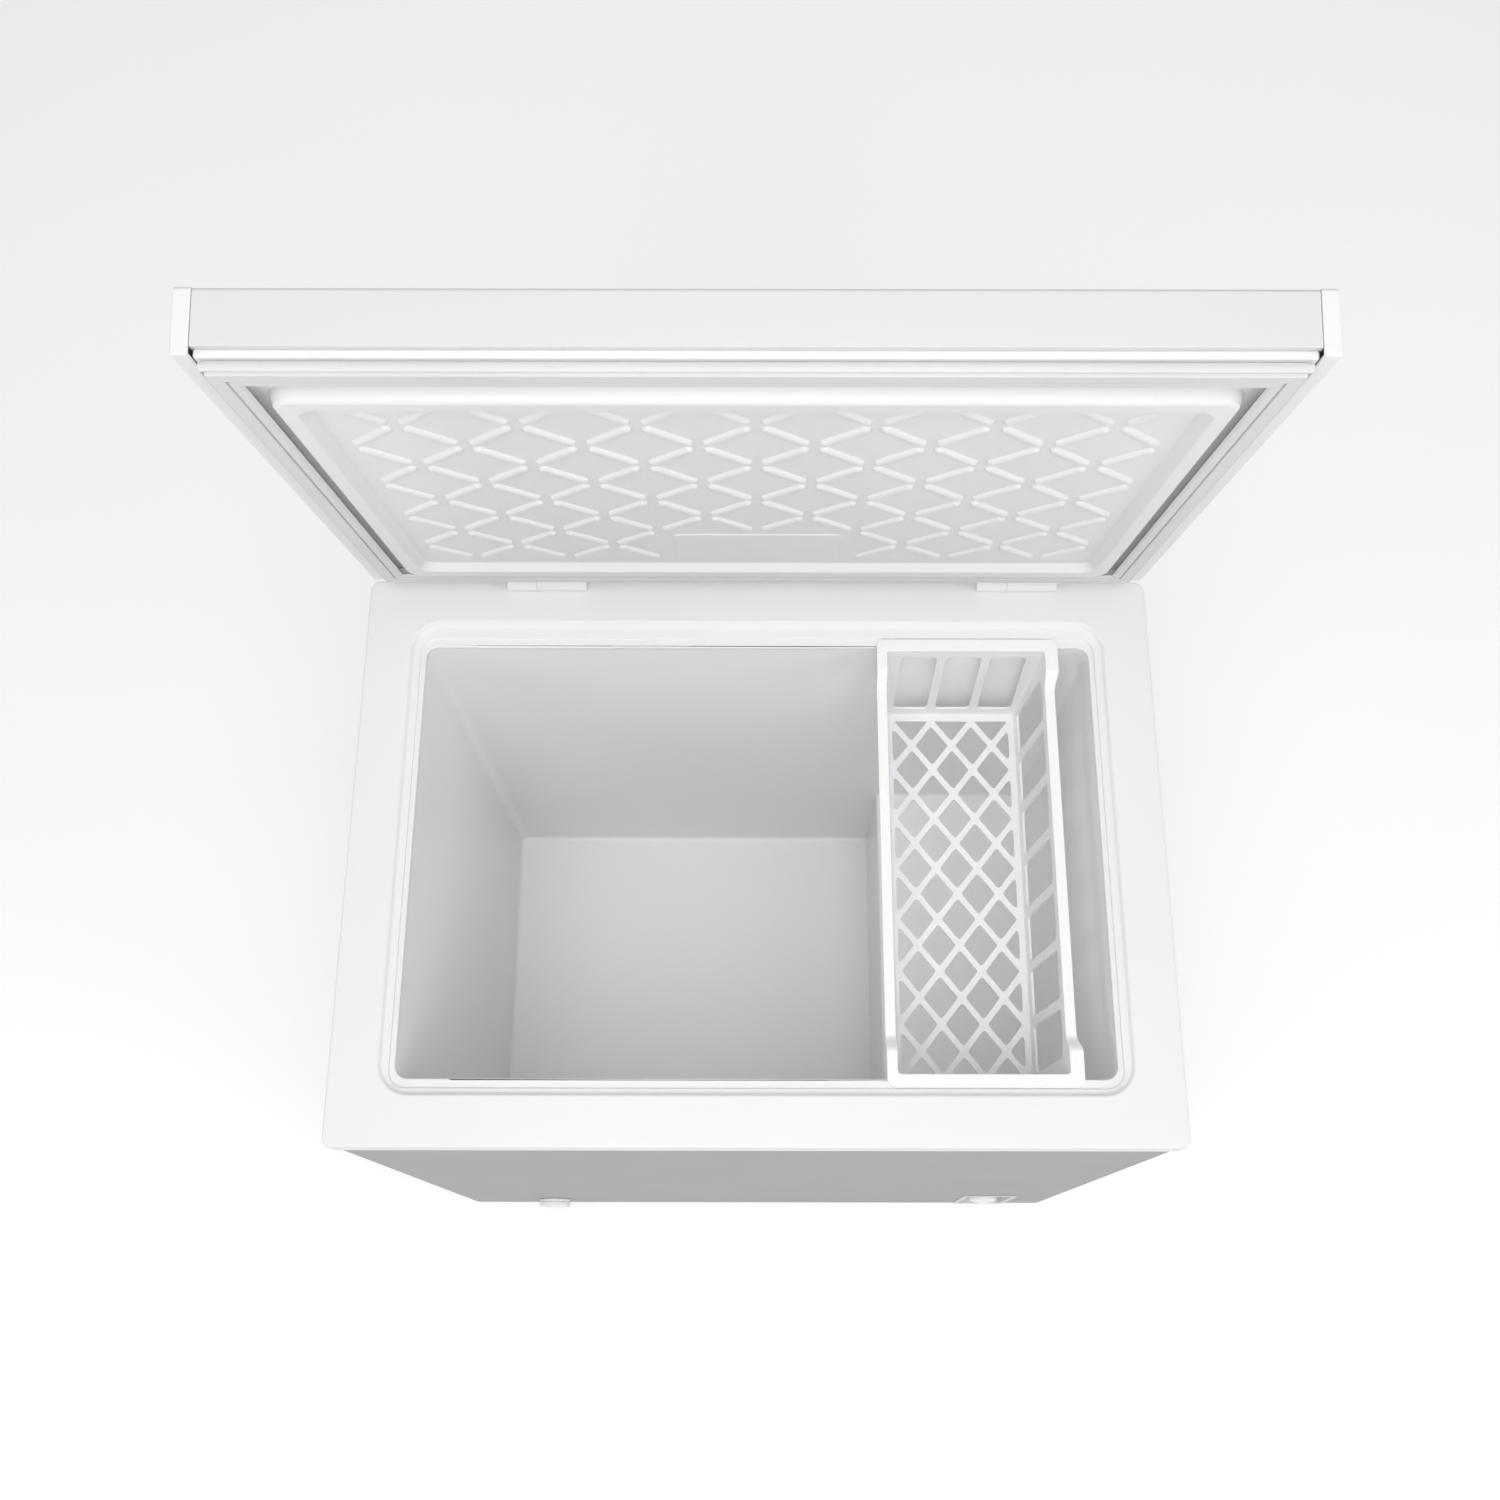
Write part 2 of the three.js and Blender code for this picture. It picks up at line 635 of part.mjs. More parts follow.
function lidFoam() {
  const skin = linerWall + gap;
  const upper = alongX(lidProfile(sheet + gap), -sheetEnd + gap, sheetEnd - gap);
  const lower = prism(grow(linerEdge, -skin), at(lidSeat + skin), at(lidBottom + 5));
  return upper.add(lower).add(panBody(skin)).subtract(pocketBody(skin));
}

function lidGasket() {
  const seat = rect(378, -278, 258, 2);
  const outer = taper(grow(seat, -1.5), at(gap), seat, at(2.5)).add(prism(seat, at(2.49), at(lidSeat - gap)));
  return outer.subtract(prism(grow(seat, -20), at(-1), at(lidSeat + 1)));
}

// ---- basket ----
const basketTopRect = {
  left: basketLeft, right: basketRight, front: basketFront, back: basketBack, radius: 9,
};
const wellTop = {
  left: basketLeft + 8, right: basketRight - 8, front: openingFront + 2, back: openingBack - 2, radius: 8,
};
const wellFloor = {
  left: wellTop.left + basketTaper, right: wellTop.right - basketTaper,
  front: wellTop.front + basketFrontTaper, back: wellTop.back - basketBackTaper, radius: 8,
};
const basketFloorZ = basketTop - basketDepth;
const railDip = 13;
const dipFront = -190;
const dipBack = 184;

function basketNetHoles() {
  const pitchX = 44;
  const pitchY = 56;
  const bar = 5;
  const middleX = (basketLeft + basketRight) / 2;
  const middleY = -8;
  const inside = rect(65, -202, 188.5, 1, middleX);
  const frame = prism(inside, basketFloorZ - 5, basketFloorZ + 8);
  const holes = [];
  for (let column = -4; column <= 4; column += 1) {
    for (let row = -8; row <= 8; row += 1) {
      if ((column + row) % 2 !== 0) {
        const x = middleX + (column * pitchX) / 2;
        const y = middleY + (row * pitchY) / 2;
        const shape = new THREE.Shape([
          new THREE.Vector2(x - pitchX / 2 + bar * 0.8, y), new THREE.Vector2(x, y - pitchY / 2 + bar * 0.9),
          new THREE.Vector2(x + pitchX / 2 - bar * 0.8, y), new THREE.Vector2(x, y + pitchY / 2 - bar * 0.9),
        ]);
        const hole = new THREE.ExtrudeGeometry(shape, { depth: 20, bevelEnabled: false });
        hole.translate(0, 0, basketFloorZ - 10);
        holes.push(solid(hole).intersect(frame));
      }
    }
  }
  return holes;
}

// Upright windows in the two long walls and in the two end walls.
function basketWindows() {
  const windows = [];
  const sideStep = 57.8;
  const sideCount = 7;
  const sideBar = 7;
  const firstY = -205;
  const sideTop = basketTop - railDip - 13;
  for (let i = 0; i < sideCount; i += 1) {
    const y = firstY + i * sideStep + sideBar / 2;
    const end = Math.min(y + sideStep - sideBar, wellFloor.back - 6);
    windows.push(box(basketLeft - 10, basketRight + 10, y, end, basketFloorZ + 14, sideTop));
  }
  const endCount = 3;
  const endBar = 8;
  const endStep = (wellFloor.right - wellFloor.left - 14) / endCount;
  for (let i = 0; i < endCount; i += 1) {
    const x = wellFloor.left + 7 + i * endStep + endBar / 2;
    windows.push(box(
      x, x + endStep - endBar, basketFront - 10, basketBack + 10, basketFloorZ + 12, basketTop - 12,
    ));
  }
  return windows;
}

function basket() {
  const wall = 2.5;
  const outer = taper(wellFloor, basketFloorZ - 3, wellTop, basketTop - 3);
  const rim = prism(basketTopRect, basketTop - 3, basketTop);
  const inner = taper(grow(wellFloor, -wall), basketFloorZ, grow(wellTop, -wall), basketTop + 1);
  let body = outer.add(rim);
  const midBox = (z0, z1) => box(basketLeft - 5, basketRight + 5, dipFront, dipBack, z0, z1);
  body = body.subtract(midBox(basketTop - railDip, basketTop + 5));
  const lowRail = prism(basketTopRect, basketTop - railDip - 3, basketTop - railDip)
    .intersect(midBox(0, rimTop));
  const ramps = prism(basketTopRect, basketTop - railDip - 3, basketTop)
    .intersect(box(0, halfWidth, dipFront - 3, dipFront, 0, rimTop)
      .add(box(0, halfWidth, dipBack, dipBack + 3, 0, rimTop)));
  body = body.add(lowRail).add(ramps).subtract(inner);
  for (const hole of [...basketNetHoles(), ...basketWindows()]) {
    body = body.subtract(hole);
  }
  return body;
}

// ---- assembly ----
piece('outer_shell', outerShell(), whitePaint());
piece('back_panel', backPanel(), whitePaint());
piece('base_plate', basePlate(), galvanised());
piece('rim_frame', rimFrame(), whitePlastic());
piece('inner_liner', innerLiner(), linerPlastic());
piece('foam_insulation', foamInsulation(), foamYellow());
piece('evaporator_coil', evaporatorCoil(), copper());
piece('condenser_coil', condenserCoil(), copper());
for (const [name, x, y] of [
  ['foot_front_left', -355, -245], ['foot_front_right', 355, -245],
  ['foot_rear_left', -355, 240], ['foot_rear_right', 355, 240],
]) {
  piece(name, foot(x, y), blackPlastic());
}

piece('compressor', compressor(), blackPaint());
mountSpots.forEach((spot, i) => piece(`compressor_mount_${i + 1}`, rubberMount(spot), blackRubber()));
piece('terminal_cover', terminalCover(), blackPlastic());
piece('filter_drier', filterDrier(), copper());
piece('discharge_tube', dischargeTube(), copper());
piece('suction_tube', suctionTube(), copper());
piece('compressor_cover', compressorCover(), whitePlastic());
piece('cord_gland', cordGland(), blackRubber());

piece('control_panel', controlPanel(), whitePlastic());
piece('power_lamp', lamp(lampSpots[0]), material(0x3fae6a, 0.3, 0));
piece('warning_lamp', lamp(lampSpots[1]), material(0xd0402f, 0.3, 0));
piece('thermostat_knob', thermostatKnob(), whitePlastic());
piece('thermostat_body', thermostatBody(), blackPlastic());

piece('drain_bezel', drainBezel(), whitePlastic());
piece('drain_tube', drainTube(), whitePlastic());
piece('drain_spout', drainSpout(), whitePlastic());
piece('drain_dial', drainDial(), whitePlastic());
piece('drain_plug', drainPlug(), grayRubber());

for (const hinge of hinges) {
  piece(`hinge_base_${hinge.name}`, hingeBase(hinge), whitePaint());
  piece(`hinge_pin_${hinge.name}`, hingePin(hinge), steel());
  lidPiece(`hinge_arm_${hinge.name}`, hingeArm(hinge), whitePaint());
}
lidPiece('lid_outer_sheet', lidOuterSheet(), whitePaint());
lidPiece('lid_end_cap_left', lidEndCap(-1), whitePlastic());
lidPiece('lid_end_cap_right', lidEndCap(1), whitePlastic());
lidPiece('lid_foam', lidFoam(), foamYellow());
lidPiece('lid_liner', lidLiner(), linerPlastic());
lidPiece('lid_gasket', lidGasket(), grayRubber());

piece('basket', basket(), whitePlastic());

// The origin is on the floor, under the middle of the whole object with its lid open.
const whole = new THREE.Box3().setFromObject(group);
const middleY = (whole.min.y + whole.max.y) / 2;
for (const mesh of group.children) {
  mesh.geometry.translate(0, -middleY, 0);
}

export default group;
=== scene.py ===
"""Looks of the chest freezer: its shells, liner, lid, basket and fittings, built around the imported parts.

Shapes are drawn in millimetres from the cabinet's own centre line, with the floor at z = 0 and the front
towards -y. Lid pieces are drawn shut and then swung open about the hinge axis.
"""

import json
import math

import bmesh
import bpy
from mathutils import Matrix, Vector


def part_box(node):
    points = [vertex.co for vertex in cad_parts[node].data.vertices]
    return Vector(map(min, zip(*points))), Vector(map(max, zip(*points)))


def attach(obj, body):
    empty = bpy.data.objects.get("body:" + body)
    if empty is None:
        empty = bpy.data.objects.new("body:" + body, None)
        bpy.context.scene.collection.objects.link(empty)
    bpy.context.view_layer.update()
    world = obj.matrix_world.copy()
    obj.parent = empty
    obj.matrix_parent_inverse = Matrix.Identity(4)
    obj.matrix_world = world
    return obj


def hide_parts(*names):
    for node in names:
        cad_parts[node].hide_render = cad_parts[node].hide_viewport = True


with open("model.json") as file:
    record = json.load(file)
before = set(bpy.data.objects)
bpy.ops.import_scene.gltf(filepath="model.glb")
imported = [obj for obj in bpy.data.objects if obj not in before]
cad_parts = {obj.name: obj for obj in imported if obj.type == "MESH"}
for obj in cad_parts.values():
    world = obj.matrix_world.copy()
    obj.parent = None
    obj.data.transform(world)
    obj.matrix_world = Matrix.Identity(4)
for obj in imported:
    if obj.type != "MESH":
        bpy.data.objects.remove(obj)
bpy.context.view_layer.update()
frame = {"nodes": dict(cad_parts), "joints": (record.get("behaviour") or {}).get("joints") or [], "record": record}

# ---- where things are ----
MM = 0.001
rim_low, rim_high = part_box("rim_frame")
CENTRE_Y = (rim_low.y + rim_high.y) / 2
lid_joint = next(joint for joint in frame["joints"] if joint["name"] == "lid_hinge")
HINGE = Vector(lid_joint["pos_m"])
LID_OPEN = math.radians(-lid_joint["range_deg"][0])
TO_FRAME = Matrix.Translation((0, CENTRE_Y, 0)) @ Matrix.Scale(MM, 4)
SWING = Matrix.Translation(HINGE) @ Matrix.Rotation(-LID_OPEN, 4, "X") @ Matrix.Translation(-HINGE)


class Rect:
    """A rectangle with round corners in plan."""

    def __init__(self, left, right, front, back, radius=0.5):
        self.left, self.right, self.front, self.back, self.radius = left, right, front, back, radius

    def grown(self, by, radius=None):
        """The rectangle wider by a distance all round; its corners follow unless a radius is given."""
        corner = max(self.radius + by, 0.3) if radius is None else radius
        return Rect(self.left - by, self.right + by, self.front - by, self.back + by, corner)


def measured(node, radius=0.5):
    """A CAD node's plan rectangle, bottom and top, in millimetres from the cabinet's centre line."""
    low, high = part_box(node)
    plan = Rect(low.x / MM, high.x / MM, (low.y - CENTRE_Y) / MM, (high.y - CENTRE_Y) / MM, radius)
    return plan, low.z / MM, high.z / MM


def middle_of(rect):
    return (rect.left + rect.right) / 2, (rect.front + rect.back) / 2


# ---- driving sizes ----
# The clearance between neighbours, the reach of a cutting shape past what it cuts, and the steel's thickness.
GAP = 0.3
PAST = 5
SHEET = 1.2
RIM, RIM_BOTTOM, RIM_TOP = measured("rim_frame", 10)
SHELL, FOOT_TOP, SHELL_TOP = measured("outer_shell", 14)
LINER_FLANGE, LINER_BOTTOM, LINER_TOP = measured("inner_liner", 28)
LINER_WALL = 1.5
OPENING = LINER_FLANGE.grown(-16, 12)
WELL_FLOOR = LINER_BOTTOM + LINER_WALL
STEP_LEFT = 156
STEP_TOP = 304
STEP_ROUND = 4.5
HINGE_Y = (HINGE.y - CENTRE_Y) / MM
HINGE_Z = HINGE.z / MM


# ---- shapes ----
def arc(x, y, radius, start, end, steps):
    """Points along part of a circle, from one angle to another in degrees."""
    turns = [math.radians(start + (end - start) * i / steps) for i in range(steps + 1)]
    return [(x + radius * math.cos(turn), y + radius * math.sin(turn)) for turn in turns]


def outline(rect, steps=8):
    """Points round a rectangle with round corners, anticlockwise from above."""
    r = rect.radius
    corners = [
        (rect.right - r, rect.front + r, -90), (rect.right - r, rect.back - r, 0),
        (rect.left + r, rect.back - r, 90), (rect.left + r, rect.front + r, 180),
    ]
    return [point for x, y, start in corners for point in arc(x, y, r, start, start + 90, steps)]


def ring(rect, z, steps=8):
    return [(x, y, z) for x, y in outline(rect, steps)]


def loft(rings, closed=False):
    """Joins rings of equally many points with faces: closed into a hoop, or capped at both ends."""
    shape = bmesh.new()
    rows = [[shape.verts.new(point) for point in points] for points in rings]
    count = len(rows[0])
    pairs = list(zip(rows, rows[1:]))
    if closed:
        pairs.append((rows[-1], rows[0]))
    for lower, upper in pairs:
        for i in range(count):
            j = (i + 1) % count
            shape.faces.new((lower[i], lower[j], upper[j], upper[i]))
    if not closed:
        shape.faces.new(rows[0][::-1])
        shape.faces.new(rows[-1])
    return shape


def prism(points, low, high):
    return loft([[(x, y, low) for x, y in points], [(x, y, high) for x, y in points]])


def block(x0, x1, y0, y1, z0, z1):
    return prism([(x0, y0), (x1, y0), (x1, y1), (x0, y1)], z0, z1)


def turned_to(shape, columns):
    """Moves a shape drawn lying down so that its x, y and z run along the given columns of the frame."""
    shape.transform(Matrix([[column[row] for column in columns] + [0] for row in range(3)] + [[0, 0, 0, 1]]))
    return shape


def along_x(points, x0, x1):
    """A profile of (y, z) points, run along x."""
    return turned_to(prism(points, x0, x1), [(0, 1, 0), (0, 0, 1), (1, 0, 0)])


def along_y(points, y0, y1):
    """A profile of (x, z) points, run along y."""
    return turned_to(prism(points, y0, y1), [(1, 0, 0), (0, 0, 1), (0, 1, 0)])


def facing_front(shape, face):
    """Stands a lying shape up on the front: its y runs up and its z runs forward from the plane y = face."""
    turned_to(shape, [(1, 0, 0), (0, 0, 1), (0, -1, 0)])
    shape.transform(Matrix.Translation((0, face, 0)))
    return shape


def facing_back(shape, face):
    turned_to(shape, [(1, 0, 0), (0, 0, 1), (0, 1, 0)])
    shape.transform(Matrix.Translation((0, face, 0)))
    return shape


def circle(x, y, radius, sides=32):
    return arc(x, y, radius, 0, 360, sides)[:-1]


def softened(points, radius, steps=4):
    """A convex polygon with its corners rounded off."""
    result = []
    count = len(points)
    for i in range(count):
        here = Vector(points[i])
        before = Vector(points[i - 1]) - here
        after = Vector(points[(i + 1) % count]) - here
        half = before.angle(after) / 2
        reach = min(radius / math.tan(half), before.length * 0.45, after.length * 0.45)
        start = here + before.normalized() * reach
        end = here + after.normalized() * reach
        for k in range(steps + 1):
            t = k / steps
            result.append(tuple(start * (1 - t) ** 2 + here * 2 * t * (1 - t) + end * t ** 2))
    return result


def clipped(points, rect):
    """The part of a convex polygon that lies inside a rectangle."""
    sides = [(0, rect.left, 1), (0, rect.right, -1), (1, rect.front, 1), (1, rect.back, -1)]
    for axis, limit, sign in sides:
        kept = []
        for i, here in enumerate(points):
            before = points[i - 1]
            inside_here = (here[axis] - limit) * sign >= 0
            inside_before = (before[axis] - limit) * sign >= 0
            if inside_here != inside_before:
                t = (limit - before[axis]) / (here[axis] - before[axis])
                kept.append((before[0] + t * (here[0] - before[0]), before[1] + t * (here[1] - before[1])))
            if inside_here:
                kept.append(here)
        points = kept
    return points


def round_rings(profile, sides, ribs, rib_depth):
    """Rings about z from (radius, height) points; ribs are cut where a point has a third value."""
    steps = ribs * 4 if ribs else sides
    rings = []
    for radius, height, *ribbed in profile:
        points = []
        for i in range(steps):
            turn = 2 * math.pi * i / steps
            here = radius - rib_depth if ribbed and i % 4 in (2, 3) else radius
            points.append((here * math.cos(turn), here * math.sin(turn), height))
        rings.append(points)
    return rings


def turned(profile, sides=40, ribs=0, rib_depth=0.0):
    """A solid round shape; its profile begins and ends close to the axis."""
    return loft(round_rings(profile, sides, ribs, rib_depth))


def hoop(profile, sides=40, ribs=0, rib_depth=0.0):
    """A round shape with a hole through the middle; its profile closes on itself."""
    return loft(round_rings(profile, sides, ribs, rib_depth), closed=True)


def moved(shape, x=0, y=0, z=0):
    shape.transform(Matrix.Translation((x, y, z)))
    return shape


def merged(shapes):
    """Several separate shapes as one mesh."""
    whole = bmesh.new()
    for shape in shapes:
        bmesh.ops.recalc_face_normals(shape, faces=shape.faces)
        mesh = bpy.data.meshes.new("part")
        shape.to_mesh(mesh)
        shape.free()
        whole.from_mesh(mesh)
        bpy.data.meshes.remove(mesh)
    return whole


def as_object(shape, name):
    bmesh.ops.recalc_face_normals(shape, faces=shape.faces)
    mesh = bpy.data.meshes.new(name)
    shape.to_mesh(mesh)
    shape.free()
    thing = bpy.data.objects.new(name, mesh)
    bpy.context.scene.collection.objects.link(thing)
    return thing


def combined(first, second, operation):
    """One shape cut by, or joined to, another."""
    target = as_object(first, "target")
    tool = as_object(second, "tool")
    modifier = target.modifiers.new("combine", "BOOLEAN")
    modifier.operation = operation
    modifier.solver = "EXACT"
    modifier.object = tool
    graph = bpy.context.evaluated_depsgraph_get()
    mesh = bpy.data.meshes.new_from_object(target.evaluated_get(graph))
    result = bmesh.new()
    result.from_mesh(mesh)
    bpy.data.meshes.remove(mesh)
    for thing in (target, tool):
        data = thing.data
        bpy.data.objects.remove(thing)
        bpy.data.meshes.remove(data)
    bmesh.ops.remove_doubles(result, verts=result.verts, dist=1e-4)
    bmesh.ops.dissolve_limit(result, angle_limit=math.radians(0.1), verts=result.verts, edges=result.edges)
    return result


def cut(shape, *tools):
    for tool in tools:
        shape = combined(shape, tool, "DIFFERENCE")
    return shape


def joined(shape, *others):
    for other in others:
        shape = combined(shape, other, "UNION")
    return shape


# ---- materials ----
def material(name, colour, roughness, **values):
    """A principled material; values are shader sockets by their names, with spaces as underscores."""
    made = bpy.data.materials.new(name)
    made.use_nodes = True
    shader = made.node_tree.nodes["Principled BSDF"]
    shader.inputs["Base Color"].default_value = (*colour, 1)
    shader.inputs["Roughness"].default_value = roughness
    for socket, value in values.items():
        shader.inputs[socket.replace("_", " ")].default_value = value
    made.diffuse_color = (*colour, 1)
    return made


def noise(made, scale, detail=2.0, stretch=(1, 1, 1)):
    """A noise pattern in metres, so that its grain keeps its real size."""
    nodes, links = made.node_tree.nodes, made.node_tree.links
    place = nodes.new("ShaderNodeTexCoord")
    mapping = nodes.new("ShaderNodeMapping")
    mapping.inputs["Scale"].default_value = stretch
    texture = nodes.new("ShaderNodeTexNoise")
    texture.inputs["Scale"].default_value = scale
    texture.inputs["Detail"].default_value = detail
    links.new(place.outputs["Object"], mapping.inputs["Vector"])
    links.new(mapping.outputs["Vector"], texture.inputs["Vector"])
    return texture.outputs["Fac"]


def vary_colour(made, pattern, colour, other, low=0.35, high=0.65):
    nodes, links = made.node_tree.nodes, made.node_tree.links
    ramp = nodes.new("ShaderNodeValToRGB")
    ramp.color_ramp.elements[0].position = low
    ramp.color_ramp.elements[0].color = (*colour, 1)
    ramp.color_ramp.elements[1].position = high
    ramp.color_ramp.elements[1].color = (*other, 1)
    links.new(pattern, ramp.inputs["Fac"])
    links.new(ramp.outputs["Color"], nodes["Principled BSDF"].inputs["Base Color"])


def vary_roughness(made, pattern, low, high):
    nodes, links = made.node_tree.nodes, made.node_tree.links
    spread = nodes.new("ShaderNodeMapRange")
    spread.inputs["From Min"].default_value = 0.3
    spread.inputs["From Max"].default_value = 0.7
    spread.inputs["To Min"].default_value = low
    spread.inputs["To Max"].default_value = high
    links.new(pattern, spread.inputs["Value"])
    links.new(spread.outputs["Result"], nodes["Principled BSDF"].inputs["Roughness"])


def add_bump(made, pattern, height_mm, strength=1.0):
    nodes, links = made.node_tree.nodes, made.node_tree.links
    bump = nodes.new("ShaderNodeBump")
    bump.inputs["Strength"].default_value = strength
    bump.inputs["Distance"].default_value = height_mm * MM
    links.new(pattern, bump.inputs["Height"])
    links.new(bump.outputs["Normal"], nodes["Principled BSDF"].inputs["Normal"])


def shade(colour, factor):
    return tuple(channel * factor for channel in colour)


def enamel(name, colour, roughness=0.32, gloss=0.5):
    """Baked paint on sheet steel, with the faint ripple of orange peel."""
    made = material(name, colour, roughness, Specular_IOR_Level=gloss)
    vary_colour(made, noise(made, 3), colour, shade(colour, 0.99))
    vary_roughness(made, noise(made, 12, 2), roughness - 0.02, roughness + 0.03)
    add_bump(made, noise(made, 260, 1), 0.012, 0.4)
    return made


def moulded(name, colour, roughness=0.42, grain=900, depth=0.02, subsurface=0.0):
    """Moulded plastic with a fine even grain."""
    made = material(name, colour, roughness, Subsurface_Weight=subsurface, Subsurface_Scale=0.004)
    vary_colour(made, noise(made, 5), colour, shade(colour, 0.985))
    vary_roughness(made, noise(made, 20, 2), roughness - 0.03, roughness + 0.04)
    add_bump(made, noise(made, grain, 2), depth, 0.3)
    return made


def formed_sheet(name, colour):
    """The liner's vacuum-formed sheet: glossier, with slow waves where it was drawn into the mould."""
    made = material(name, colour, 0.36)
    vary_colour(made, noise(made, 2.5, 1), colour, shade(colour, 0.985), 0.25, 0.75)
    vary_roughness(made, noise(made, 4, 1), 0.33, 0.4)
    add_bump(made, noise(made, 5, 0), 1.0, 0.1)
    return made


def soft_vinyl(name, colour):
    """The gasket's soft vinyl, dull, with a fine even grain."""
    made = material(name, colour, 0.55, Sheen_Weight=0.1)
    vary_colour(made, noise(made, 8), colour, shade(colour, 0.96))
    vary_roughness(made, noise(made, 120, 3), 0.48, 0.64)
    add_bump(made, noise(made, 700, 3), 0.03, 0.5)
    return made


def rubber(name, colour):
    made = material(name, colour, 0.75)
    vary_colour(made, noise(made, 30, 3), colour, shade(colour, 1.5))
    vary_roughness(made, noise(made, 90, 3), 0.65, 0.85)
    add_bump(made, noise(made, 1200, 3), 0.04, 0.5)
    return made


def metal(name, colour, roughness, stretch=(1, 1, 1)):
    made = material(name, colour, roughness, Metallic=1.0)
    vary_colour(made, noise(made, 60, 4, stretch), colour, shade(colour, 0.8))
    vary_roughness(made, noise(made, 200, 3, stretch), roughness - 0.08, roughness + 0.12)
    add_bump(made, noise(made, 500, 3, stretch), 0.02, 0.5)
    return made


def galvanised():
    """Zinc-coated steel with its patchwork of crystals."""
    made = material("galvanised_steel", (0.55, 0.57, 0.59), 0.42, Metallic=0.9)
    nodes, links = made.node_tree.nodes, made.node_tree.links
    place = nodes.new("ShaderNodeTexCoord")
    cells = nodes.new("ShaderNodeTexVoronoi")
    cells.inputs["Scale"].default_value = 90
    links.new(place.outputs["Object"], cells.inputs["Vector"])
    vary_colour(made, cells.outputs["Distance"], (0.6, 0.62, 0.64), (0.45, 0.47, 0.49), 0.1, 0.9)
    vary_roughness(made, noise(made, 150, 3), 0.34, 0.52)
    return made


def foam():
    made = material("rigid_foam", (0.78, 0.66, 0.36), 0.95)
    vary_colour(made, noise(made, 120, 4), (0.78, 0.66, 0.36), (0.66, 0.54, 0.28))
    add_bump(made, noise(made, 500, 4), 0.4, 0.6)
    return made


def lens(name, colour):
    """A small tinted lens over a lamp."""
    made = material(name, colour, 0.15, Transmission_Weight=0.3, IOR=1.49, Coat_Weight=0.5)
    vary_colour(made, noise(made, 300, 2), colour, shade(colour, 0.8))
    vary_roughness(made, noise(made, 400, 2), 0.1, 0.22)
    return made


LOOKS = {
    "painted_sheet": enamel("painted_sheet", (0.71, 0.71, 0.71)),
    # painted shade: the cabinet's white paint darkened to stand for the shade that falls on its front
    "cabinet_paint_with_painted_shade": enamel("cabinet_paint_with_painted_shade", (0.42, 0.42, 0.422), roughness=0.6, gloss=0.1),
    "hinge_paint": enamel("hinge_paint", (0.84, 0.84, 0.84), 0.38),
    "base_steel": galvanised(),
    "rim_plastic": moulded("rim_plastic", (0.82, 0.82, 0.82)),
    "liner_plastic": formed_sheet("liner_sheet", (0.94, 0.94, 0.94)),
    "lid_plastic": formed_sheet("lid_sheet", (0.79, 0.79, 0.79)),
    "basket_plastic": moulded("basket_plastic", (0.88, 0.88, 0.88), 0.4, 700, 0.02, 0.1),
    "control_plastic": moulded("control_plastic", (0.80, 0.80, 0.80), 0.36),
    "knob_plastic": moulded("knob_plastic", (0.90, 0.90, 0.90), 0.34),
    "panel_plastic": moulded("panel_plastic", (0.62, 0.62, 0.62), 0.4),
    "scale_print": moulded("scale_print", (0.03, 0.22, 0.20), 0.45, 1500, 0.005),
    "cover_plastic": moulded("cover_plastic", (0.80, 0.80, 0.79), 0.5, 600, 0.04),
    "foam": foam(),
    "gasket_rubber": soft_vinyl("gasket_vinyl", (0.68, 0.68, 0.68)),
    "black_rubber": rubber("black_rubber", (0.02, 0.02, 0.021)),
    "black_plastic": moulded("black_plastic", (0.03, 0.03, 0.032), 0.5, 600, 0.04),
    "compressor_paint": enamel("compressor_paint", (0.018, 0.018, 0.02), 0.4),
    "copper_pipe": metal("copper_pipe", (0.72, 0.36, 0.22), 0.3),
    "pin_steel": metal("pin_steel", (0.6, 0.61, 0.63), 0.3, (1, 8, 8)),
    "power_lens": lens("power_lens", (0.08, 0.5, 0.2)),
    "warning_lens": lens("warning_lens", (0.6, 0.08, 0.04)),
}


# ---- pieces ----
def body_of_node(node):
    return next(name for name, members in frame["record"]["behaviour"]["bodies"].items() if node in members)


def slot_of_node(node):
    return next(part["material_slot"] for part in frame["record"]["subparts"] if part["node"] == node)


def piece(name, shape, *nodes, edge=0.0, segments=3, swung=False, look=None):
    """Turns a shape into a finished piece that rides with, and stands for, the given CAD nodes."""
    thing = as_object(shape, name)
    thing.data.transform(TO_FRAME)
    if swung:
        thing.data.transform(SWING)
    thing.data.polygons.foreach_set("use_smooth", [True] * len(thing.data.polygons))
    thing.data.set_sharp_from_angle(angle=math.radians(35))
    if edge:
        bevel = thing.modifiers.new("soft_edges", "BEVEL")
        bevel.width = edge * MM
        bevel.segments = segments
        bevel.limit_method = "ANGLE"
        bevel.angle_limit = math.radians(32)
        bevel.use_clamp_overlap = True
    weighted = thing.modifiers.new("even_normals", "WEIGHTED_NORMAL")
    weighted.keep_sharp = not edge
    slot = slot_of_node(nodes[0])
    thing.data.materials.append(look or LOOKS[slot])
    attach(thing, body_of_node(nodes[0]))
    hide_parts(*nodes)
    return thing


def centre_of(node):
    """The middle of a CAD node seen from the front, as x and z."""
    plan, bottom, top = measured(node)
    return (plan.left + plan.right) / 2, (bottom + top) / 2


